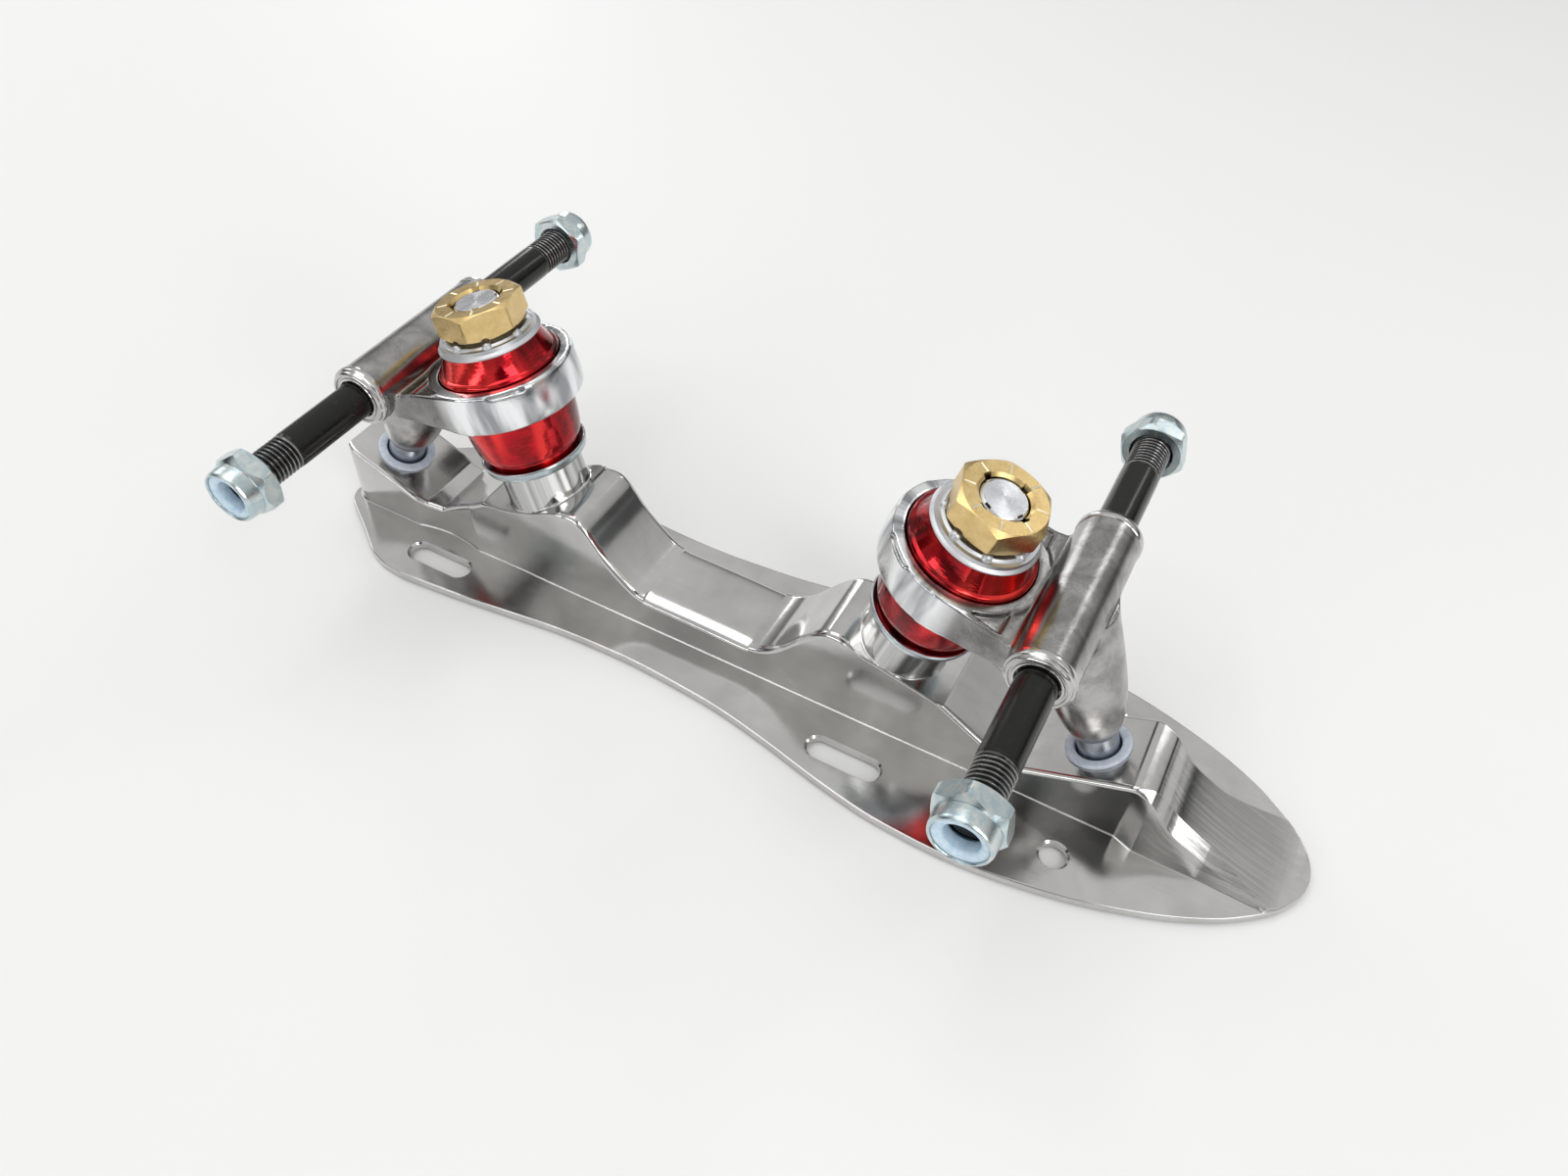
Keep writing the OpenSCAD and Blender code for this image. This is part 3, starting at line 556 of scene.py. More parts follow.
for x0, x1, y, deep in POCKETS:
    levels = [(-1.0, 1.3), (0.3, 0.0), (deep - 0.8, 0.0), (deep - 0.25, -0.25), (deep, -0.9)]
    tools.append(cutter((x0 + x1) / 2, 0.0, (x1 - x0) / 2 - POCKET_CORNER, y - POCKET_CORNER,
                        POCKET_CORNER, levels, 48))
bore = lathe(rounded([(0, -60), (7.6, -60), (7.6, -26, 0.4), (5.02, -26), (5.02, -1.9), (5.6, -1.4),
                      (5.6, 2), (0, 2)]), 96)
socket = lathe(rounded([(0, -8.6), (5.95, -8.6, 0.8), (5.95, -0.35), (6.6, 0.3), (6.6, 4), (0, 4)]), 96)
for at in (spin("Z", 0), spin("Z", 180)):
    tools += [placed(bore, at @ ON_PIN), placed(socket, at @ ON_PIVOT)]
combine(plate, as_object("tools", joined(*tools), FRONT), "DIFFERENCE")
plate.data.shade_smooth()
plate.data.set_sharp_from_angle(angle=math.radians(PLATE_SHARP))
print("plate faces", len(plate.data.polygons))

# %% [markdown]
# ## The hanger
# The hanger is the casting that swings under the skater: a ring round the cushions,
# two arms, a barrel for the axle and a leg that ends in the pivot. A caster's moulds
# blend these forms softly. Subdivision could imitate that by hand, but a field states
# each form once and melts them where they meet. The ring is a lathe field, the arms
# are the space between two curved walls, and the leg is a cone whose radius grows
# with height.

# %% Hanger
ARM_X = [-3.0, 4.0, 9.0, 12.5, 15.0, 17.5, 20.0, 26.0]
ARM_Y = [15.9, 16.0, 15.9, 16.0, 16.6, 17.6, 18.6, 18.9]
ARM_LOW = RING_LIFT + np.array([0.3, 0.3, 0.4, 1.0, 2.0, 3.2, 4.2, 5])
ARM_HIGH = RING_TOP + np.array([-0.5, -0.5, -0.5, -0.5, -0.4, 0.2, 1.6, 3])
LEG = curve([(7.8, 5.0), (10, 5.85), (12.5, 6.6), (15, 7.15), (18, 7.6), (22, 7.95), (30, 8.3),
             (LEG_LEN, 8.5)])
BOWL_R, SEAT_R, MOUTH_R, PIN_HOLE_R = 13.42, 13.02, 13.35, 7.8  # inside the ring, above and below its web
DISH_RING, DISH_ARM, DISH_BARREL, DISH_MIDDLE, DISH_DEEP = 15.6, 14.9, 12.6, 8.5, 1.25  # its sides and floor


def hanger_field(p):
    """Field of the hanger in the truck frame. Round forms are the distance from their own axis less a
    radius, flat limits are heights, max() cuts and min() joins, and the melting ones do so softly."""
    q, a, leg_q = (local(p, at) for at in (ON_PIN, ON_AXLE, ON_LEG))
    x, w, z = q[..., 0], np.abs(q[..., 1]), q[..., 2]
    radius, from_axle, from_leg = (np.hypot(v[..., 0], v[..., 1]) for v in (q, a, leg_q))
    along_leg = leg_q[..., 2]
    mid = RING_LIFT + RING_H / 2
    belly = 0.35 * (1 - ((z - mid) / (RING_H / 2)) ** 2)
    ring = melt_max(radius - RING_R + 0.35 - belly, np.abs(z - mid) - RING_H / 2 + 0.05, 0.3)
    arm = melt_max(w - np.interp(x, ARM_X, ARM_Y), z - np.interp(x, ARM_X, ARM_HIGH), 0.25)
    arm = melt_max(arm, np.interp(x, ARM_X, ARM_LOW) - z, 0.5)
    arm = np.maximum(arm, np.maximum(-1 - x, x - OUT - 1.0))
    barrel = np.maximum(from_axle - BARREL_R + 0.2, np.abs(a[..., 2]) - BARREL_HALF + 1.4)
    leg = 0.97 * (from_leg - np.interp(along_leg, LEG[:, 0], LEG[:, 1]))
    leg = melt_max(leg, np.maximum(LEG[0, 0] - along_leg, along_leg - LEG_LEN + 2), 0.12)
    body = melt(melt(melt(ring, arm, 0.4), barrel, 0.35), leg, 0.6)
    bowl = melt_max(radius - BOWL_R, WEB_HIGH + 0.2 - z, 0.3)
    seat = melt_max(radius - SEAT_R, z - WEB_LOW, 0.3)
    mouth = (radius - MOUTH_R - 0.9 * (RING_LIFT + 0.55 - z)) / 1.35
    body = carve(body, bowl, 0.18)
    body = carve(body, np.maximum(seat, z - WEB_LOW), 0.18)
    body = carve(body, np.maximum(mouth, z - RING_LIFT - 1), 0.1)
    body = np.maximum(body, PIN_HOLE_R - radius)
    # a shallow three sided dish between the ring, the arm's rim and the barrel
    dish = melt_max(melt_max(DISH_RING - radius, w - DISH_ARM - 0.06 * (x - 10), 0.25),
                    melt_max(x - DISH_BARREL, DISH_MIDDLE - w, 0.25), 0.25)
    dish = melt_max(dish, RING_TOP - DISH_DEEP - z, 0.3)
    body = carve(body, dish, 0.12)
    body = np.maximum(body, AXLE_R - 0.02 - from_axle)
    socket = np.maximum(from_leg - STEM_R, along_leg - 17.8)
    return np.maximum(body, -socket)


coarse = 0.36
hanger_surface = skin(hanger_field, (boss_x - 15, -23.0, 18.0), (axle_x + 18, 23.0, 62.0), coarse)
print("hanger quads", len(hanger_surface[1]))

# %% [markdown]
# ## Turned parts
# Everything on the kingpin and the axle is a lathe shape. A thread is a lathe whose
# radius also turns with height: `r = r0 - depth * tri(z / pitch - t / 2 pi)`, which
# is a true helix.

# %% Threads and marks
def threaded(outline, low, high, depth, pitch):
    """A lathe with a helical groove between two heights, fading in over a turn."""
    def shape(r, z, t):
        phase = (z / pitch - t / math.tau) % 1.0
        groove = np.clip(1.35 * (1 - np.abs(2 * phase - 1)) - 0.12, 0, 1)
        fade = np.clip((z - low) / (0.8 * pitch), 0, 1) * np.clip((high - z) / (0.25 * pitch), 0, 1)
        return np.where(r > 1.5, r - depth * groove * fade, r), z
    return lathe(outline, 64, shape)


def thread_outline(r, z0, z1, step):
    """Points up a straight wall, close enough for a thread."""
    z = np.arange(z0, z1, step)
    return np.column_stack([np.full_like(z, r), z])


def off(t, start, step):
    """Degrees from each angle t to the nearest of the directions start + k step."""
    return (np.degrees(t) - start + step / 2) % step - step / 2


def fan(start, step, offsets):
    """The given offsets round each of the directions start + k step, in degrees."""
    return [start + step * k + d for k in range(360 // step) for d in offsets]


# %% [markdown]
# ### Kingpin
# The steel bolt that holds a truck together. Its head sits in the boot face and its
# threaded end shows inside the brass nut, faced flat, with four notches in its rim.
# The end is a piece of its own, because it was faced and shines in another way.

# %% Kingpin
kingpin_outline = np.vstack([
    rounded([(0, -30.6), (6.9, -30.6, 0.5), (7.2, -26, 0.4), (PIN_R, -26, 0.2), (PIN_R, PIN_TOP - 6.8, 0.1),
             (PIN_R - 0.1, PIN_TOP - 6.4)], 4, closed=False),
    thread_outline(PIN_R - 0.1, PIN_TOP - 6.2, PIN_TOP - 0.75, 0.12),
    [(PIN_R - 0.1, PIN_TOP - 0.7), (PIN_R - 0.3, PIN_TOP - 0.5), (0, PIN_TOP - 0.5)]])
kingpin_surface = threaded(kingpin_outline, PIN_TOP - 6.2, PIN_TOP - 0.3, 0.5, PIN_PITCH)


def pin_end(turn):
    """The faced end of the kingpin, with four small notches in its rim below those of the nut: within
    8.6 degrees of a notch's middle the outer points lie 0.42 mm lower."""
    def notched(r, z, t):
        at_notch = np.abs(off(t, turn + NOTCH_AT, 90)) < 8.6
        return r, np.where(at_notch & (r > 4.16) & (z > PIN_TOP - 0.5), z - 0.42, z)
    outline = rounded([(0, PIN_TOP - 0.6), (PIN_R - 0.2, PIN_TOP - 0.6), (PIN_R - 0.2, PIN_TOP - 0.5),
                       (PIN_R - 0.62, PIN_TOP, 0.1), (4.2, PIN_TOP), (4.12, PIN_TOP), (0, PIN_TOP)], 4)
    marks = np.radians(fan(turn + NOTCH_AT, 90, (-8.7, -8.5, 8.5, 8.7)))
    angles = np.unique(np.concatenate([full_turn(128), marks % math.tau]))
    return lathe(outline, shape=notched, angles=angles)


print("kingpin points", len(kingpin_surface[0]))

# %% [markdown]
# ### Washer and cushions
# The two urethane cushions hold the hanger's ring between them and let it lean. The
# lower one bulges like a barrel and stands on a pressed zinc washer, and the upper
# one is a cone. Both touch the web inside the ring. Cloth or soft bodies aren't
# needed, because moulded urethane keeps its outline when nobody stands on it.

# %% Washer and cushions
washer_surface = lathe(rounded([(5.05, -1.5), (10.9, -1.5, 0.4), (11.7, -1.15, 0.4), (12.15, 0.5, 0.4),
                                (12.0, 1.05, 0.2), (11.6, 0.95, 0.15), (11.0, -0.1, 0.4),
                                (5.05, -0.4)], 5), 160)

lower_soft = np.vstack([
    rounded([(5.3, -0.4), (10.3, -0.4, 0.4), (10.75, 0.5, 0.4), (11.0, 2.1, 0.2), (10.98, 2.42, 0.1),
             (11.6, 2.75, 0.25), (11.8, 3.3)], 5, closed=False),
    curve([(12.02, 4.1), (12.36, 6.6), (12.62, 9.6), (12.6, 12.4), (12.4, 14.2)], 5),
    rounded([(12.2, WEB_LOW - 0.9), (12.0, WEB_LOW - 0.3, 0.3), (11.5, WEB_LOW, 0.3), (5.3, WEB_LOW)],
            4, closed=False)])
upper_soft = np.vstack([
    rounded([(5.3, WEB_HIGH), (12.3, WEB_HIGH, 0.5), (13.0, WEB_HIGH + 0.9, 0.6),
             (13.15, RING_TOP - 0.2, 0.2), (13.3, RING_TOP + 0.15, 0.25), (13.0, RING_TOP + 0.75, 0.35),
             (12.35, RING_TOP + 1.05, 0.5)], 5, closed=False),
    curve([(12.1, RING_TOP + 1.5), (11.55, RING_TOP + 2.6), (11.05, RING_TOP + 3.8),
           (10.65, RING_TOP + 4.9)], 4),
    rounded([(10.45, CUP_LOW + 0.1, 0.2), (9.15, CUP_LOW + 1.15, 0.3), (5.3, CUP_LOW + 1.15)],
            3, closed=False)])
print("cushion outline points", len(lower_soft), len(upper_soft))

# %% [markdown]
# ### Upper cup
# The satin cap on the upper cushion. Eight bumps on its shoulder click into the
# scallops of the nut, so that the nut keeps its place. They are raised straight from
# the lathe's own points, which keeps the cup one clean skin without a boolean.

# %% Upper cup
def clicks(r, z, t):
    """Eight round bumps on the cup's shoulder: each is a bar of radius 1.1 that lies along a radius,
    so its top is z0 + sqrt(1.1^2 - s^2) at a sideways distance s, and it ends in a ball."""
    side, past = r * np.radians(off(t, CLICK_AT, 45)), np.maximum(r - 8.8, 0)
    bar = CUP_TOP - 1.22 + np.sqrt(np.clip(1.21 - side ** 2 - past ** 2, 0, None))
    on_top = (z > CUP_TOP - 2.2) & (r > 6.35) & (r < 10.4)
    return r, np.where(on_top, np.maximum(z, bar), z)


CUP_SHOULDER = CUP_TOP - 0.8
cup_outline = np.vstack([
    rounded([(5.1, CUP_LOW + 1.2), (9.2, CUP_LOW + 1.2, 0.2), (10.5, CUP_LOW, 0.15), (11.0, CUP_LOW, 0.15),
             (11.22, CUP_LOW + 0.35, 0.25), (11.12, CUP_LOW + 0.5)], 5, closed=False)[:-1],
    np.column_stack([np.linspace(11.12, 9.0, 15), np.linspace(CUP_LOW + 0.5, CUP_SHOULDER, 15)]),
    np.column_stack([np.linspace(8.8, 6.5, 11), np.full(11, CUP_SHOULDER)]),
    rounded([(6.4, CUP_TOP - 0.75, 0.1), (6.3, CUP_TOP, 0.1), (5.1, CUP_TOP, 0.1), (5.1, CUP_LOW + 1.2)],
            2, closed=False)])
cup_surface = lathe(cup_outline, 480, clicks)
print("cup points", len(cup_surface[0]))

# %% [markdown]
# ## Hexagon nuts
# For each angle t the flat side lies at `R(t) = (af / 2) / cos(t mod 60 - 30)`. The
# top and bottom cones cut the corners, so the edge between cone and flat is the curve
# seen on every real nut. Engraved marks lower the points that fall inside them. A
# cylinder of six sides with a bevel would miss that curve.

# %% Brass nut
MOUTH = 0.6  # chamfer at both ends of a nut's bore


def hex_nut(af, low, high, cone, slopes, bore, n_flat, marks=None, extra=()):
    """Closed grid of a hexagon nut. cone is the radius where the chamfers start, and slopes are how
    steeply the lower and the upper one fall."""
    marked = np.asarray(extra, float) % math.tau
    t = np.unique(np.round(np.concatenate([full_turn(6 * n_flat), marked]), 6))
    flat = (af / 2) / np.cos(np.radians((np.degrees(t)) % 60 - 30))
    soft = af / math.sqrt(3) - 0.12
    flat = soft - np.log1p(np.exp((soft - flat) / 0.05)) * 0.05
    foot, drop = (np.maximum(flat - cone, 0) * k for k in slopes)
    columns = [(cone + (flat - cone) * part, low + foot * part) for part in (1.0, 0.66, 0.33, 0.0)]
    columns += [(r, low) for r in np.linspace(cone - 0.2, bore + MOUTH, 8)]
    columns += [(bore, low + MOUTH), (bore, (low + high) / 2), (bore, high - MOUTH)]
    across = [np.linspace(bore + MOUTH + 0.02, cone - 0.1, 9),
              [bore + 0.9, bore + 0.96, cone - 0.3, cone - 0.24]]
    columns += [(r, high) for r in np.unique(np.concatenate(across))]
    columns += [(cone + (flat - cone) * part, high - drop * part) for part in (0.0, 0.33, 0.66, 1.0)]
    columns += [(flat, high - drop - (high - low - drop - foot) * part) for part in (0.25, 0.5, 0.75)]
    r, z = stacked(columns, t)
    t = np.broadcast_to(t[:, None], r.shape)
    if marks:
        r, z = marks(r, z, t)
    return turned_grid(r, z, t)


def dial(r, z, t):
    """Eight V shaped dial lines, 0.13 mm deep, four notches in the top, and eight round scallops below,
    whose roof is z0 + sqrt(1.25^2 - s^2) at a sideways distance s."""
    line = (z > NUT_TOP - 0.01) & (r > PIN_R + 0.98) & (r < NUT_AF / 2 - 0.42)
    z = np.where(line, z - np.clip(0.13 - np.abs(np.radians(off(t, 0, 45))) * 3.4, 0, 1), z)
    notch = (np.abs(off(t, NOTCH_AT, 90)) <= 8.5001) & (z > NUT_TOP - 0.85) & (r < PIN_R + 0.9)
    z = np.where(notch, z - 1.1, z)
    side = np.radians(off(t, CLICK_AT, 45)) * r
    scallop = CUP_TOP - 0.55 + np.sqrt(np.clip(1.25 ** 2 - side ** 2, 0, None))
    low = (z < CUP_TOP + 1.2) & (r > 6.7) & (np.abs(side) < 1.12)
    return r, np.where(low, np.maximum(z, scallop), z)


extra = (fan(0, 45, (-2.2, -1.1, 0, 1.1, 2.2)) + fan(CLICK_AT, 45, (-6.9, *range(-6, 7), 6.9))
         + fan(NOTCH_AT, 90, (-8.8, -8.5, 8.5, 8.8)))
nut_surface = hex_nut(NUT_AF, CUP_TOP, NUT_TOP, NUT_AF / 2 - 0.15, (0.55, 0.62), PIN_R + 0.05, 24,
                      dial, np.radians(extra))
print("nut points", len(nut_surface[0]))

# %% [markdown]
# ### Lock nuts
# A zinc hexagon nut with a rolled dome that holds a nylon ring. The ring grips the
# thread so that a wheel can't shake the nut loose. Hexagon, dome and ring are three
# grids, because they meet at a sharp line on the real nut too.

# %% Lock nuts
lock_in = LOCK_FACE - LOCK_H
hex_end = lock_in + LOCK_H * 0.55
lock_hex = hex_nut(LOCK_AF, lock_in, hex_end, LOCK_AF / 2 - 0.25, (0.6, 1.2), AXLE_R + 0.03, 16)
lock_dome = lathe(rounded([(5.0, hex_end - 0.6), (5.98, hex_end - 0.5), (5.92, hex_end + 1.0, 1.0),
                           (5.78, LOCK_FACE - 0.85, 0.6), (5.52, LOCK_FACE - 0.1, 0.3),
                           (5.2, LOCK_FACE - 0.01, 0.12), (5.0, LOCK_FACE - 0.35, 0.1),
                           (5.1, LOCK_FACE - 0.62)], 5), 128)
lock_surface = joined(lock_hex, lock_dome)
insert_surface = lathe(rounded([(3.3, LOCK_FACE - 3.3), (5.07, LOCK_FACE - 3.3),
                                (5.07, LOCK_FACE - 0.52, 0.1), (4.7, LOCK_FACE - 0.42, 0.2),
                                (3.75, LOCK_FACE - 0.62, 0.3), (3.3, LOCK_FACE - 1.1, 0.3)], 5), 96)
print("lock nut points", len(lock_surface[0]))

# %% [markdown]
# ### Axle, barrel ends and pivot
# The axle is one black steel bar through the barrel, threaded at both ends, so half of
# it is turned and copied by half a turn about X. The barrel's machined ends are small
# lathe pieces over the casting. The leg carries a steel pin with a ball, which rests
# in a moulded cup in the plate.

# %% Axle, barrel ends and pivot
axle_outline = np.vstack([
    rounded([(0, 0), (AXLE_R - 0.1, 0), (AXLE_R - 0.1, BARREL_HALF - 0.05), (AXLE_R, BARREL_HALF + 0.05),
             (AXLE_R, THREAD_AT - 0.8, 0.1), (AXLE_R - 0.1, THREAD_AT - 0.2)], 3, closed=False),
    thread_outline(AXLE_R - 0.06, THREAD_AT, AXLE_HALF - 0.85, 0.1),
    rounded([(AXLE_R - 0.06, AXLE_HALF - 0.8), (AXLE_R - 0.75, AXLE_HALF, 0.1), (1.2, AXLE_HALF, 0.1),
             (0, AXLE_HALF - 0.5)], 3, closed=False)])
half_axle = threaded(axle_outline, THREAD_AT - 0.2, AXLE_HALF + 0.3, 0.52, AXLE_PITCH)
axle_surface = joined(half_axle, placed(half_axle, spin("X", 180)))

barrel_end = lathe(rounded([(4.25, 20.3), (4.25, 21.5, 0.06), (4.4, 21.6, 0.06), (4.92, 21.6, 0.06),
                            (5.0, 21.2, 0.04), (5.36, 21.2, 0.04), (5.46, 21.6, 0.06), (5.82, 21.6, 0.1),
                            (6.22, 21.28, 0.1), (6.25, 20.82, 0.08), (6.68, 20.62, 0.12), (6.78, 19.9, 0.6),
                            (6.7, 19.1, 0.15), (6.42, 18.85), (6.3, 18.85), (6.3, 20.3)], 5), 160)


def arc(r, z, low, high, n):
    """n points of an arc of radius r round (0, z), between two angles in degrees."""
    t = np.linspace(math.radians(low), math.radians(high), n)
    return np.column_stack([r * np.cos(t), z + r * np.sin(t)])


cup_liner = rounded([(4.8, -3.2), (4.8, LIP - 0.25), (5.05, LIP, 0.15), (6.45, LIP, 0.35),
                     (6.8, LIP - 0.35, 0.2), (6.8, 0.03, 0.1), (5.88, 0.03), (5.88, -8.1, 0.6),
                     (3.4, -8.1), (0, -8.1), (0, -6.6)], 4)
pivot_cup_surface = lathe(np.vstack([cup_liner, arc(4.46, LIP - BALL_IN, -90, -2, 12)]), 96)
pin_outline = np.vstack([
    arc(4.4, 0.0, -90, -4, 16),
    rounded([(4.32, 0.6), (4.3, 7.4, 0.2), (4.0, 7.85, 0.2), (STEM_R, 7.9), (STEM_R, 17.5), (0, 17.5)],
            4, closed=False)])
pivot_pin_surface = lathe(pin_outline, 96)
print("axle points", len(axle_surface[0]))

# %% [markdown]
# ## A small language for shaders
# `Wire` holds one output of a node. Adding or multiplying wires adds Math nodes, so a
# finish reads like the formula it is. Nodes could be placed and linked one by one, but
# then the formula is lost among links. `Tree.node` is the one way any node is made.

# %% Wire, Tree and Finish
class Wire:
    """An output of a shader node that can be used in sums."""

    def __init__(self, tree, socket):
        self.tree, self.socket = tree, socket

    def __add__(self, other): return self.tree.math("ADD", self, other)
    def __radd__(self, other): return self.tree.math("ADD", other, self)
    def __sub__(self, other): return self.tree.math("SUBTRACT", self, other)
    def __rsub__(self, other): return self.tree.math("SUBTRACT", other, self)
    def __mul__(self, other): return self.tree.math("MULTIPLY", self, other)
    def __rmul__(self, other): return self.tree.math("MULTIPLY", other, self)
    def __truediv__(self, other): return self.tree.math("DIVIDE", self, other)
    def __rtruediv__(self, other): return self.tree.math("DIVIDE", other, self)
    def sin(self): return self.tree.math("SINE", self)
    def abs(self): return self.tree.math("ABSOLUTE", self)


class Tree:
    """The nodes of a material or a world."""

    def __init__(self, owner):
        owner.use_nodes = True
        self.nodes, self.links = owner.node_tree.nodes, owner.node_tree.links

    def node(self, kind, out=0, inputs=None, stops=(), **settings):
        """Makes any node: stops are a ramp's places and greys, settings are the node's properties, and
        inputs its sockets by name or number."""
        node = self.nodes.new(kind)
        for place, grey in stops[1:-1]:
            node.color_ramp.elements.new(place)
        for k, (place, grey) in enumerate(stops):
            node.color_ramp.elements[k].color = (grey, grey, grey * 0.99, 1)
        for key, value in settings.items():
            setattr(node, key, value)
        for key, value in (inputs or {}).items():
            self.feed(node.inputs[key], value)
        return Wire(self, node.outputs[out])

    def feed(self, socket, value):
        """Links a wire to a socket, or sets its number or colour."""
        if isinstance(value, Wire):
            self.links.new(value.socket, socket)
        else:
            socket.default_value = (*value, 1.0) if socket.type == "RGBA" else value

    def math(self, operation, *values):
        """One Math node, such as a sine or a product, of wires or numbers."""
        return self.node("ShaderNodeMath", inputs=dict(enumerate(values)), operation=operation)

    def place(self):
        """Object coordinates, in metres in the row frame."""
        return self.node("ShaderNodeTexCoord", out="Object")

    def own(self):
        """The piece's own coordinates in millimetres, stored as an attribute."""
        return self.node("ShaderNodeAttribute", out="Vector", attribute_name="own")

    def pack(self, x, y, z):
        """The vector (x, y, z) of three wires or numbers."""
        return self.node("ShaderNodeCombineXYZ", inputs={0: x, 1: y, 2: z})

    def parts(self, vector):
        """The x, y and z of a vector, as three wires."""
        split = self.node("ShaderNodeSeparateXYZ", inputs={0: vector})
        return [Wire(self, s) for s in split.socket.node.outputs]

    def length(self, x, y):
        """The square root of x x + y y."""
        return self.math("SQRT", x * x + y * y)

    def round_own(self):
        """Own coordinates as a vector, as x, y and z, and as the distance from the piece's axis."""
        own = self.own()
        x, y, z = self.parts(own)
        return own, x, y, z, self.length(x, y)

    def scaled(self, vector, x, y, z):
        """A vector with each part multiplied by its own factor, which stretches a noise."""
        return self.node("ShaderNodeVectorMath", operation="MULTIPLY", inputs={0: vector, 1: (x, y, z)})

    def noise(self, vector, scale=1.0, detail=3.0, rough=0.5, twist=0.0):
        """Fractal noise, from 0 to 1 and mostly close to 0.5."""
        return self.node("ShaderNodeTexNoise", out="Fac", inputs={
            "Vector": vector, "Scale": scale, "Detail": detail, "Roughness": rough, "Distortion": twist})

    def bands(self, x, y, z, count, detail, rough):
        """Noise of the direction of (x, y), so that it runs in upright bands round an axis."""
        r = self.length(x, y)
        return self.noise(self.pack(x / r * count, y / r * count, z), 1.0, detail, rough)

    def range(self, value, a, b, c=0.0, d=1.0):
        """Maps a..b to c..d, held at the ends."""
        return self.node("ShaderNodeMapRange", inputs={
            "Value": value, "From Min": a, "From Max": b, "To Min": c, "To Max": d})

    def mix(self, factor, a, b):
        """Colour a where the factor is 0 and colour b where it is 1."""
        return self.node("ShaderNodeMix", out=2, inputs={0: factor, 6: a, 7: b}, data_type="RGBA")

    def bump(self, height, strength, distance, under=None):
        """Tilts the normal by the slope of a height, over the bump under it if there is one."""
        inputs = {"Height": height, "Strength": strength, "Distance": distance}
        if under is not None:
            inputs["Normal"] = under
        return self.node("ShaderNodeBump", out="Normal", inputs=inputs)


class Finish(Tree):
    """A material under construction, with one Principled shader."""

    def __init__(self, name, **fixed):
        self.material = bpy.data.materials.new(name)
        super().__init__(self.material)
        self.shader = next(n for n in self.nodes if n.type == "BSDF_PRINCIPLED")
        self.put(**fixed)

    def put(self, **values):
        """Sets or links sockets of the shader. Underscores stand for spaces."""
        for key, value in values.items():
            self.feed(self.shader.inputs[key.replace("_", " ")], value)


print("shader language ready")

# %% [markdown]
# ### Polished plate
# The plate was milled and then polished on a wheel, which leaves hair lines along it
# and a slow swell. A photograph of brushed metal could be laid on it, but noise in the
# plate's own place has no seams and holds from any distance.

# %% Polished plate
def polished_plate():
    """Polished aluminium: hair lines along X, fine on the tops (they depend on y) and on the walls (on
    z), soft clouds in tone and gloss, a slow swell from hand polishing, and coarser strokes down the
    toe slope. On the bosses the colour runs in upright light and dark bands round the kingpin's line:
    painted reflections of a polished post."""
    f = Finish("polished_plate", Metallic=1.0)
    p = f.place()
    x, y, z = f.parts(p)
    tops, walls = (f.noise(f.pack(x * 90.0, v * 6500.0, seed), 1.0, 4, 0.6)
                   for v, seed in ((y, 0.0), (z, 7.0)))
    hair = tops * 0.6 + walls * 0.4
    past_crest = x - (crest - MID) * MM
    toe = f.range(past_crest, 0.003, 0.009) * f.range(z, (FLANGE + 0.2) * MM, (FLANGE + 2.0) * MM)
    strokes = f.range(f.noise(f.pack(x * 22.0, y * 900.0, 3.0), 1.0, 6, 0.72), 0.36, 0.64) * toe
    cloud = f.noise(p, 60, 3, 0.55, 0.4)
    swell = f.noise(p, 110, 2, 0.5)
    fine = f.noise(p, 1400, 3, 0.6)
    along = ((x * 1000 + MID).abs() - boss_x - (z * 1000 - boss_z) * (sin_l / cos_l)) * cos_l
    aside = y * 1000
    # painted reflection: upright light and dark bands on the bosses stand for what a polished post reflects
    upright = f.bands(along, aside, 4.0, 2.1, 3, 0.55)
    boss_painted_reflection = f.mix(f.range(upright, 0.40, 0.60), (0.26, 0.26, 0.265), (0.86, 0.86, 0.85))
    plain = f.mix(f.range(cloud + 0.45 * hair - 0.5 * toe + 0.8 * strokes, 0.5, 1.0),
                  (0.50, 0.495, 0.485), (0.68, 0.675, 0.66))
    near_boss = f.range(f.length(along, aside), BOSS_R + 0.1, BOSS_R + 0.5, 1.0, 0.0)
    on_boss = near_boss * f.range(z, 0.016, 0.018)
    grainy = f.bump(hair + 1.6 * strokes, 0.09, 0.00012, f.bump(swell, 0.033, 0.0012))
    f.put(Base_Color=f.mix(on_boss, plain, boss_painted_reflection),
          Roughness=f.range(cloud * 0.6 + hair * 0.55 + fine * 0.15 + strokes * 0.3, 0.4, 0.95, 0.09, 0.19),
          Normal=f.bump(fine, 0.012, 0.0001, grainy))
    return f.material


plate_metal = polished_plate()
print("made", plate_metal.name)

# %% [markdown]
# ### Turned metals
# A lathe's cutter leaves rings round the axis, and light runs across them as a fan.
# Anisotropy makes the fan, and a sine of the radius and height makes the rings. One
# function serves all turned parts, with their own tones and gloss.

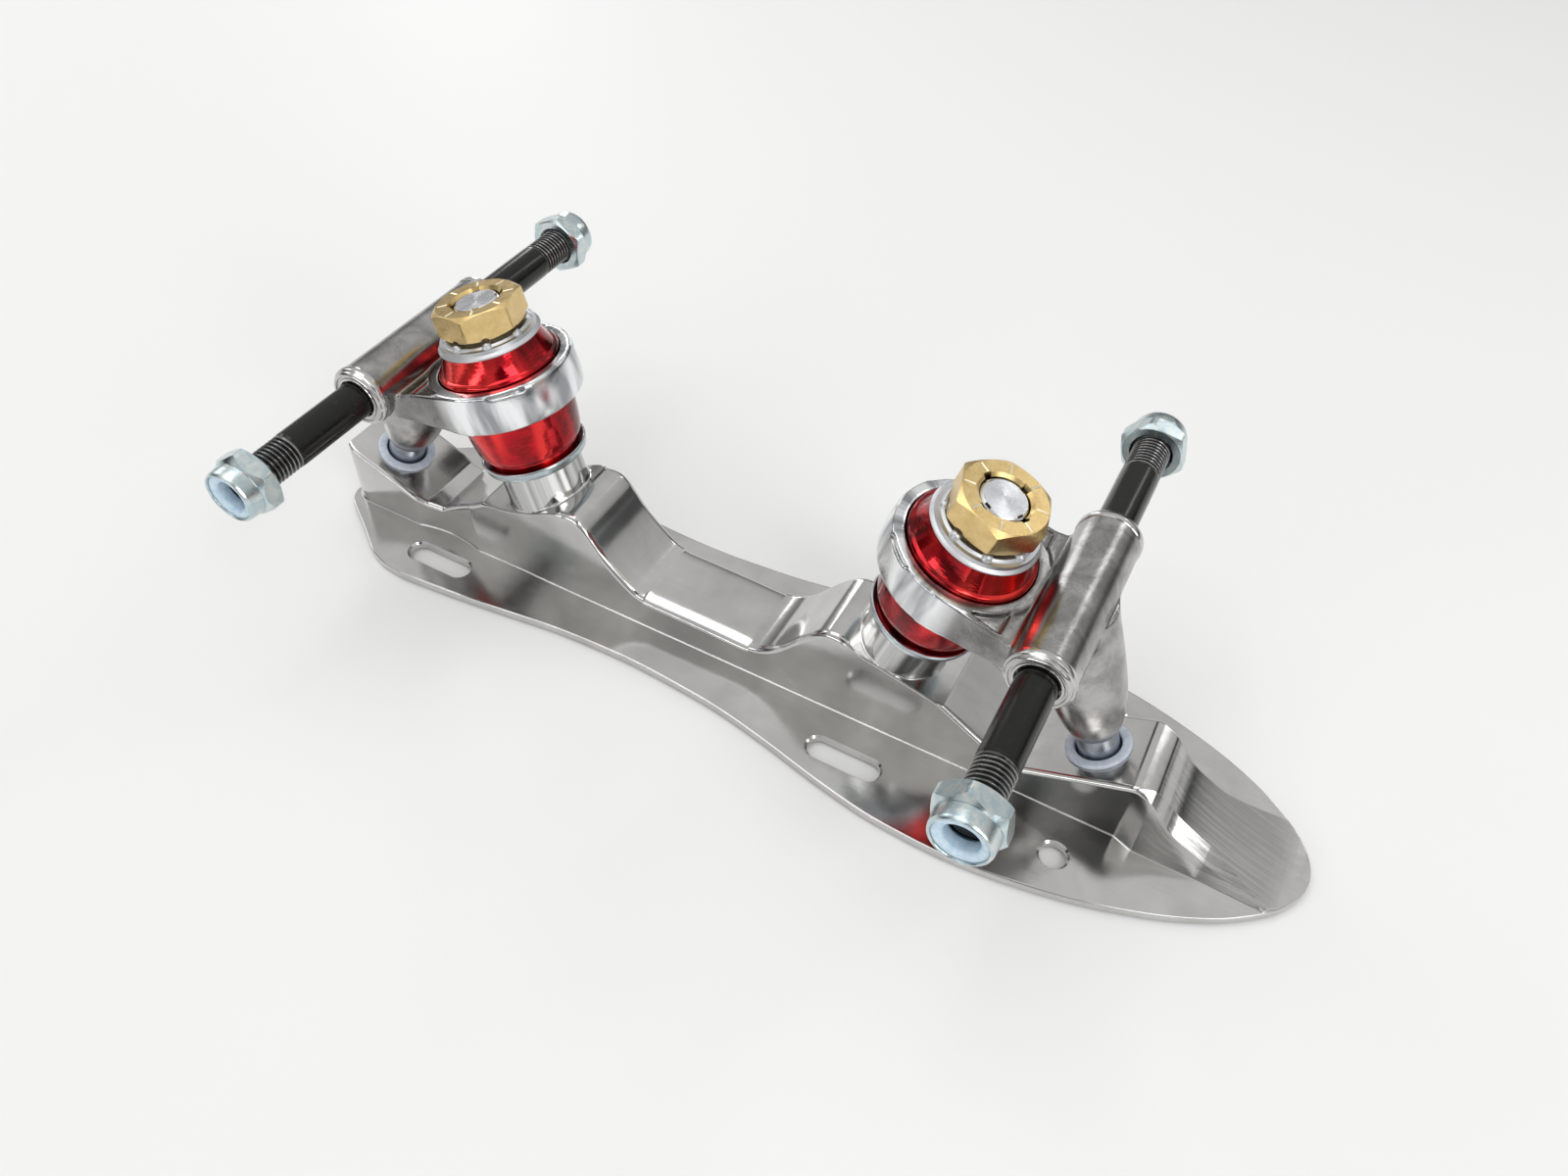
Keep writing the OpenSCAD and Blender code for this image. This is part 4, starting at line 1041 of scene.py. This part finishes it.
# %% Turned metals
def turned(name, light, dark, low, high, sheen, lines=38.0, depth=0.10, painted_pit_shade=None):
    """Turned metal: rings of tool marks round the piece's own axis, with a sheen that runs along them.
    Its last argument, a function of (f, radius, z), may give a factor that is 1 in recesses, where the
    colour is painted near black as shade."""
    f = Finish(name, Metallic=1.0, Anisotropic=sheen)
    own, x, y, z, radius = f.round_own()
    wander = f.noise(own, 0.5, 2)
    marks = (radius * lines + z * lines * 0.8 + wander * 2.5).sin() * 0.5 + 0.5
    streak = f.noise(f.pack(radius * 9.0, z * 9.0, 0.0), 1.0, 4, 0.65)
    cloud = f.noise(own, 0.35, 3)
    colour = f.mix(f.range(cloud * 0.7 + streak * 0.5, 0.42, 0.8), dark, light)
    # painted shade: recesses are painted near black
    if painted_pit_shade:
        colour = f.mix(painted_pit_shade(f, radius, z), colour, (0.02, 0.018, 0.015))
    f.put(Base_Color=colour, Roughness=f.range(streak + 0.3 * cloud, 0.45, 0.9, low, high),
          Normal=f.bump(marks * 0.35 + streak, depth, 0.00012))
    return f.material


def pin_notch_shade(f, radius, z):
    """1 inside the notches of the kingpin's end, which lie below its chamfer: there the colour is painted
    near black as shade.
    """
    return f.range(PIN_TOP - z - (radius - 4.18) * 0.806, 0.15, 0.3) * f.range(radius, 4.1, 4.2)


lip_metal = turned("turned_lip", (0.66, 0.655, 0.64), (0.46, 0.455, 0.445), 0.12, 0.22, 0.2, 24.0, 0.04)
cup_metal = turned("satin_cup", (0.70, 0.71, 0.73), (0.58, 0.59, 0.61), 0.36, 0.48, 0.4, depth=0.05)
steel = turned("turned_steel", (0.72, 0.73, 0.76), (0.5, 0.51, 0.54), 0.15, 0.3, 0.7)
faced = turned("faced_steel", (0.80, 0.81, 0.84), (0.70, 0.71, 0.74), 0.22, 0.32, 0.9, depth=0.04,
               painted_pit_shade=pin_notch_shade)
pivot_steel = turned("pivot_steel", (0.5, 0.53, 0.57), (0.34, 0.36, 0.4), 0.22, 0.38, 0.3)
zinc = turned("bright_zinc", (0.56, 0.63, 0.66), (0.40, 0.46, 0.49), 0.14, 0.28, 0.3)
print("turned metals:", lip_metal.name, cup_metal.name, steel.name, faced.name, pivot_steel.name, zinc.name)

# %% [markdown]
# ### Cast and polished hanger
# The hanger is a casting that was only polished where a wheel could reach: the free
# side of its ring is glossier and painted much lighter, in upright bands of painted
# reflection, and the arms, barrel and leg stay a warm satin. Two materials would need
# a seam between them, so one blends both along the arms.

# %% Hanger finish
def cast_hanger():
    """The hanger: warm satin on the arms, barrel and leg, polished by wheel on the free side of the
    ring, where the distance along the arms from the kingpin's line is under about 5 mm. There it is
    glossier, and its colour is painted much lighter in upright light and dark bands of painted
    reflection."""
    f = Finish("cast_hanger", Metallic=1.0)
    own = f.own()
    x, y, z = f.parts(own)
    along = (x - boss_x) * cos_l - (z - boss_z) * sin_l
    cloud = f.noise(own, 0.16, 3, 0.6, 0.5)
    # the polished side: its lower roughness is real polish, its lighter colour is painted reflection
    polish_and_painted_light = f.range(along + 4.0 * cloud, 2.0, 7.5, 1.0, 0.0)
    grit = f.noise(own, 3.6, 4, 0.7)
    brush = f.noise(f.scaled(own, 0.35, 0.35, 7.0), 1.0, 4, 0.65)
    tone = f.range(cloud * 0.7 + grit * 0.4, 0.42, 0.72)
    arm = f.range(along, 0.0, 5.0) * f.range(along, 14.5, 18.0, 1.0, 0.0)
    satin = f.mix(arm, f.mix(tone, (0.25, 0.246, 0.24), (0.52, 0.512, 0.50)),
                  f.mix(tone, (0.17, 0.168, 0.165), (0.36, 0.355, 0.345)))
    # painted reflection: upright light and dark bands round the kingpin's line
    bright = f.mix(f.range(f.bands(along, y, z * 0.03, 2.4, 3, 0.55), 0.40, 0.58),
                   (0.34, 0.345, 0.36), (0.93, 0.94, 0.95))
    f.put(Base_Color=f.mix(polish_and_painted_light, satin, bright),
          Roughness=f.range(polish_and_painted_light, 0.0, 1.0, 0.15, 0.06) + 0.12 * grit,
          Normal=f.bump(brush * polish_and_painted_light * 0.4 + grit, 0.10, 0.0002, f.bump(cloud, 0.07, 0.0012)))
    return f.material


hanger_metal = cast_hanger()
print("made", hanger_metal.name)

# %% [markdown]
# ### Brass nut
# Turned brass with eight dial lines that were cut after turning, so they are brighter
# than the face. The lines are also real grooves in the mesh; the finish only adds their
# fresh cut and painted shade, near black, inside the notches.

# %% Brass nut finish
def dialled_brass():
    """Turned brass whose eight dial lines are cut bright: a line shows where the own angle is close to
    a multiple of 45 degrees (the sideways distance r * angle is about 0.2 mm) and r is 5.95 to 8.2 mm.
    The insides of the notches are painted near black as shade."""
    f = Finish("dialled_brass", Metallic=1.0, Anisotropic=0.25)
    own, x, y, z, radius = f.round_own()
    eighth = math.pi / 4
    angle = f.math("ARCTAN2", y, x) / eighth + 8.5
    aside = (f.math("FRACT", angle) - 0.5).abs() * eighth * radius
    line = (f.range(aside, 0.16, 0.26, 1.0, 0.0) * f.range(radius, PIN_R + 0.9, PIN_R + 1.0)
            * f.range(radius, NUT_AF / 2 - 0.48, NUT_AF / 2 - 0.38, 1.0, 0.0)
            * f.range(z, NUT_TOP - 0.3, NUT_TOP - 0.28))
    wander = f.noise(own, 0.5, 2)
    marks = (radius * 38.0 + z * 30.0 + wander * 2.5).sin() * 0.5 + 0.5
    cloud = f.noise(own, 0.5, 4, 0.6)
    grit = f.noise(own, 7.0, 3, 0.6)
    face = f.mix(f.range(cloud + 0.3 * grit, 0.5, 0.85), (0.68, 0.49, 0.21), (0.80, 0.60, 0.29))
    # painted shade: below the top and inside the bore's notches the colour is painted near black
    low = f.range(z, NUT_TOP - 1.05, NUT_TOP - 0.75, 1.0, 0.0)
    painted_pit_shade = low * f.range(radius, PIN_R + 0.95, PIN_R + 1.05, 1.0, 0.0)
    f.put(Base_Color=f.mix(painted_pit_shade, f.mix(line, face, (1.0, 0.92, 0.70)), (0.03, 0.02, 0.008)),
          Roughness=f.range(grit + 0.4 * cloud, 0.4, 0.9, 0.22, 0.34) + 0.12 * line,
          Normal=f.bump(marks * 0.3 + grit, 0.05, 0.00012))
    return f.material


brass = dialled_brass()
print("made", brass.name)

# %% [markdown]
# ### Zinc and black steel
# The lock nuts have a clear blue zinc coat, whose colour drifts with its thickness. The
# axle is blackened and glossy, and its thread crests are rubbed bright by the nuts.

# %% Zinc and black finishes
def blue_zinc():
    """Zinc with a clear blue passivation: thin film colour drifts from blue to straw."""
    f = Finish("blue_zinc", Metallic=1.0)
    own = f.own()
    cloud = f.noise(own, 0.45, 3, 0.6, 0.6)
    grit = f.noise(own, 9.0, 3, 0.6)
    f.put(Base_Color=f.mix(f.range(cloud, 0.40, 0.66), (0.50, 0.61, 0.65), (0.68, 0.72, 0.70)),
          Roughness=f.range(cloud * 0.5 + grit, 0.5, 1.0, 0.09, 0.2),
          Normal=f.bump(grit + 0.5 * cloud, 0.12, 0.0002))
    return f.material


def black_gloss():
    """Black finish over steel: drawn lines along the bar, small rubbed spots, and thread crests
    that are rubbed bright, where the own radius is over 3.8 mm past the start of the thread."""
    f = Finish("black_gloss", Metallic=0.0, Coat_Roughness=0.1, Specular_IOR_Level=0.22)
    own, x, y, z, radius = f.round_own()
    drawn = f.noise(f.scaled(own, 5.0, 5.0, 0.25), 1.0, 4, 0.65)
    rub = f.range(f.noise(own, 0.55, 4, 0.7), 0.60, 0.74)
    worn = f.range(radius, 3.72, 3.9) * f.range(z.abs(), THREAD_AT - 0.2, THREAD_AT + 0.3)
    dull = f.mix(rub, (0.008, 0.0075, 0.007), (0.028, 0.025, 0.022))
    f.put(Base_Color=f.mix(worn, dull, (0.34, 0.34, 0.34)), Metallic=f.range(worn, 0, 1, 0.0, 0.9),
          Roughness=f.range(drawn + 0.4 * rub, 0.4, 0.95, 0.16, 0.36),
          Coat_Weight=f.range(rub, 0, 1, 0.22, 0.1), Normal=f.bump(drawn, 0.12, 0.00015))
    return f.material


nut_zinc, black = blue_zinc(), black_gloss()
print("made", nut_zinc.name, black.name)

# %% [markdown]
# ### Red urethane
# The cushions are clear red urethane. Real transmission with absorption would show
# it, but it is slow, noisy and lost in an export, so a tinted sheen under a clear coat
# stands for the light that enters and comes back. Dark clouds and bright streaks in the
# colour are painted dark reflection and painted glow.

# %% Red urethane
def clear_red():
    """Candy red urethane: light that enters comes back tinted, so it is given a strongly tinted sheen
    of its own under a clear wet skin. Its colour has slow dark clouds of painted dark reflection and
    streaks of painted glow, bright orange red, that run up the piece."""
    f = Finish("clear_red", Metallic=0.85, Coat_Weight=0.3, Coat_Roughness=0.03, Coat_IOR=1.45)
    own = f.own()
    x, y, z = f.parts(own)
    cloud = f.noise(own, 0.2, 3, 0.55, 0.4)
    flow = f.noise(f.scaled(own, 0.5, 0.5, 2.2), 1.0, 3)
    side = f.bands(x, y, z * 0.02, 1.5, 2, 0.5)
    # painted dark reflection: the dark end of these clouds
    deep = f.mix(f.range(cloud * 0.5 + 0.3 * flow + side, 0.72, 1.02),
                 (0.11, 0.0006, 0.002), (0.62, 0.004, 0.014))
    # painted glow: bright orange red streaks up the sides
    f.put(Base_Color=f.mix(f.range(side, 0.52, 0.66), deep, (0.98, 0.05, 0.04)),
          Roughness=f.range(cloud, 0.35, 0.65, 0.07, 0.15), Normal=f.bump(flow, 0.08, 0.0004))
    return f.material


red = clear_red()
print("made", red.name)

# %% [markdown]
# ### Moulded plastics
# The nylon rings in the lock nuts and the pivot cups are milky plastic. A little
# subsurface light keeps their edges soft, which a plain diffuse colour can't do.

# %% Moulded plastics
def moulded(name, light, dark, through):
    """Moulded plastic: a little light passes through, with faint flow marks and a fine skin."""
    f = Finish(name, Metallic=0.0, Subsurface_Weight=through, Subsurface_Scale=0.002,
               Subsurface_Radius=(0.6, 0.8, 1.0))
    own = f.own()
    cloud = f.noise(own, 0.6, 3, 0.6, 0.5)
    skin_marks = f.noise(own, 14, 3, 0.6)
    f.put(Base_Color=f.mix(f.range(cloud, 0.35, 0.65), dark, light),
          Roughness=f.range(cloud + 0.4 * skin_marks, 0.5, 0.9, 0.26, 0.46),
          Normal=f.bump(skin_marks, 0.10, 0.0001))
    return f.material


nylon = moulded("nylon", (0.70, 0.84, 0.96), (0.50, 0.68, 0.86), 0.35)
liner = moulded("liner", (0.66, 0.72, 0.82), (0.52, 0.58, 0.68), 0.25)
print("finishes:", len(bpy.data.materials))

# %% [markdown]
# ## Putting the pieces in place
# Each piece replaces its CAD node, which is hidden, and rides on that node's body. The
# cushions ride on no body; they are fixed in place and don't bend. A table lists the turned
# pieces, so nothing is said twice.


def fit(piece, material, body, node):
    """Gives a piece its finish and, if one is given, its body, and hides the CAD node that it stands for."""
    piece.data.materials.clear()
    piece.data.materials.append(material)
    if body:
        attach(piece, body)
    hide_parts(node)


def point(matrix, x, y, z):
    """A point of a local frame in the row frame, in metres."""
    return tuple(float(v) * MM for v in (matrix @ np.array([x, y, z, 1.0]))[:3])


fit(plate, plate_metal, "plate_body", "plate")
for name, base in (("front", FRONT), ("rear", REAR)):
    pin, axle = base @ ON_PIN, base @ ON_AXLE
    turned_pin = pin @ spin("Z", NUT_TURN[name])
    truck, cup_body, nut_body = name + "_truck", name + "_cup_body", name + "_nut_body"
    cast = as_object(name + "_hanger_cast", hanger_surface, base, sharp=60)
    field_shaded(cast, hanger_field, base)
    fit(cast, hanger_metal, truck, name + "_hanger")
    for piece, surface, at, material, body, node in (
            ("_barrel_end_left", barrel_end, axle, lip_metal, truck, "_hanger"),
            ("_barrel_end_right", barrel_end, axle @ spin("X", 180), lip_metal, truck, "_hanger"),
            ("_axle_bar", axle_surface, axle, black, truck, "_axle"),
            ("_pivot_pin_steel", pivot_pin_surface, base @ ON_LEG, pivot_steel, truck, "_pivot_pin"),
            ("_pivot_liner", pivot_cup_surface, base @ ON_PIVOT, liner, "plate_body", "_pivot_cup"),
            ("_kingpin_steel", kingpin_surface, pin, steel, "plate_body", "_kingpin"),
            ("_kingpin_end", pin_end(NUT_TURN[name]), pin, faced, "plate_body", "_kingpin"),
            ("_washer_zinc", washer_surface, pin, zinc, "plate_body", "_lower_washer"),
            ("_cup_satin", cup_surface, turned_pin, cup_metal, cup_body, "_upper_cup")):
        fit(as_object(name + piece, surface, at), material, body, name + node)
    nut = as_object(name + "_nut_brass", nut_surface, turned_pin, sharp=25)
    fit(nut, brass, nut_body, name + "_kingpin_nut")
    low = as_object(name + "_soft_low", lathe(lower_soft, 160), pin)
    fit(low, red, None, name + "_lower_cushion")
    point(pin, 0, 0, 0.5)
    point(pin, 0, 0, RING_LIFT - 0.5)
    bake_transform(low)
    high = as_object(name + "_soft_high", lathe(upper_soft, 160), pin)
    fit(high, red, None, name + "_upper_cushion")
    point(pin, 0, 0, RING_TOP + 0.8)
    point(pin, 0, 0, CUP_LOW - 0.3)
    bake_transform(high)
    for side in ("left", "right"):
        straight = (side == "left") == (name == "front")
        at = axle if straight else axle @ spin("X", 180)
        turn = LOCK_TURN[name + "_" + side] * (1 if straight else -1)
        body = name + "_lock_" + side
        nut = as_object(name + "_lock_zinc_" + side, lock_surface, at @ spin("Z", turn), sharp=25)
        fit(nut, nut_zinc, body, name + "_lock_nut_" + side)
        insert = as_object(name + "_nylon_" + side, insert_surface, at)
        fit(insert, nylon, body, name + "_lock_insert_" + side)

# %% [markdown]
# ## Floor and studio light
# A pale floor, seven soft lamps (two above, two behind, a window, a strip in front and
# one on the left), and dark cards that only the metal sees: polished metal needs
# something dark to reflect.

# %% Floor, lamps, sky and cards
def sheet(name, w, h, z, **look):
    """A rectangle of half sizes w and h with its own finish."""
    mesh = bpy.data.meshes.new(name)
    mesh.from_pydata([(-w, -h, z), (w, -h, z), (w, h, z), (-w, h, z)], [], [(0, 1, 2, 3)])
    mesh.materials.append(Finish(name, **look).material)
    return linked(name, mesh)


def aim(obj, centre, away_from):
    """Puts an object at its centre, with its Z axis pointing away from a point."""
    direction = Vector(centre) - Vector(away_from)
    obj.matrix_world = Matrix.Translation(centre) @ direction.to_track_quat("Z", "Y").to_matrix().to_4x4()


floor = sheet("floor", 4, 4, -0.0005, Base_Color=(0.92, 0.92, 0.92), Roughness=0.6)
MIDDLE, TOE = (0.0, 0.0, 0.02), (0.1, 0.0, 0.01)
for name, size, centre, watts in (
        ("ceiling", (0.8, 0.62), (-0.36, -0.06, 1.1), 2.3),
        ("fill", (0.5, 0.4), (0.75, -0.55, 1.0), 2.6),
        ("back_left", (0.14, 0.5), (-0.8, 0.84, 0.32), 1.0),
        ("back_right", (0.08, 0.35), (0.43, 0.89, 0.70), 0.4),
        ("window", (0.34, 0.4), (0.98, -0.46, 0.45), 1.8),
        ("strip", (0.9, 0.16), (-0.35, -1.15, 0.42), 1.8),
        ("left", (0.3, 0.5), (-1.1, 0.15, 0.55), 1.2)):
    lamp = bpy.data.lights.new(name, "AREA")
    lamp.shape, lamp.energy = "RECTANGLE", watts
    lamp.size, lamp.size_y = size
    aim(linked(name, lamp), centre, MIDDLE)

world = bpy.data.worlds.new("studio")
bpy.context.scene.world = world
studio = Tree(world)
height = studio.parts(studio.node("ShaderNodeTexCoord", out="Generated"))[2]
sky = studio.node("ShaderNodeValToRGB", inputs={0: height},
                  stops=((0.0, 0.16), (0.25, 0.38), (0.5, 0.60), (1.0, 0.80)))
studio.feed(studio.nodes["Background"].inputs["Color"], sky)
studio.feed(studio.nodes["Background"].inputs["Strength"], 1.0)
bpy.context.scene.view_settings.view_transform = "Standard"

for name, size, centre, towards, colour in (
        ("dark_back", (0.9, 0.4), (0.1, 1.3, 0.3), MIDDLE, (0.03, 0.03, 0.035)),
        ("dark_side", (0.4, 0.7), (-1.2, -0.5, 0.5), MIDDLE, (0.03, 0.03, 0.035)),
        ("dark_toe", (0.5, 0.22), (0.82, 0.62, 0.16), TOE, (0.08, 0.08, 0.085)),
        ("photographer", (0.22, 0.26), (0.17, -0.36, 0.46), TOE, (0.05, 0.05, 0.055))):
    obj = sheet(name, size[0] / 2, size[1] / 2, 0, Base_Color=colour, Roughness=0.9)
    aim(obj, centre, towards)
    obj.visible_camera = False
print("lights:", len(bpy.data.lights))
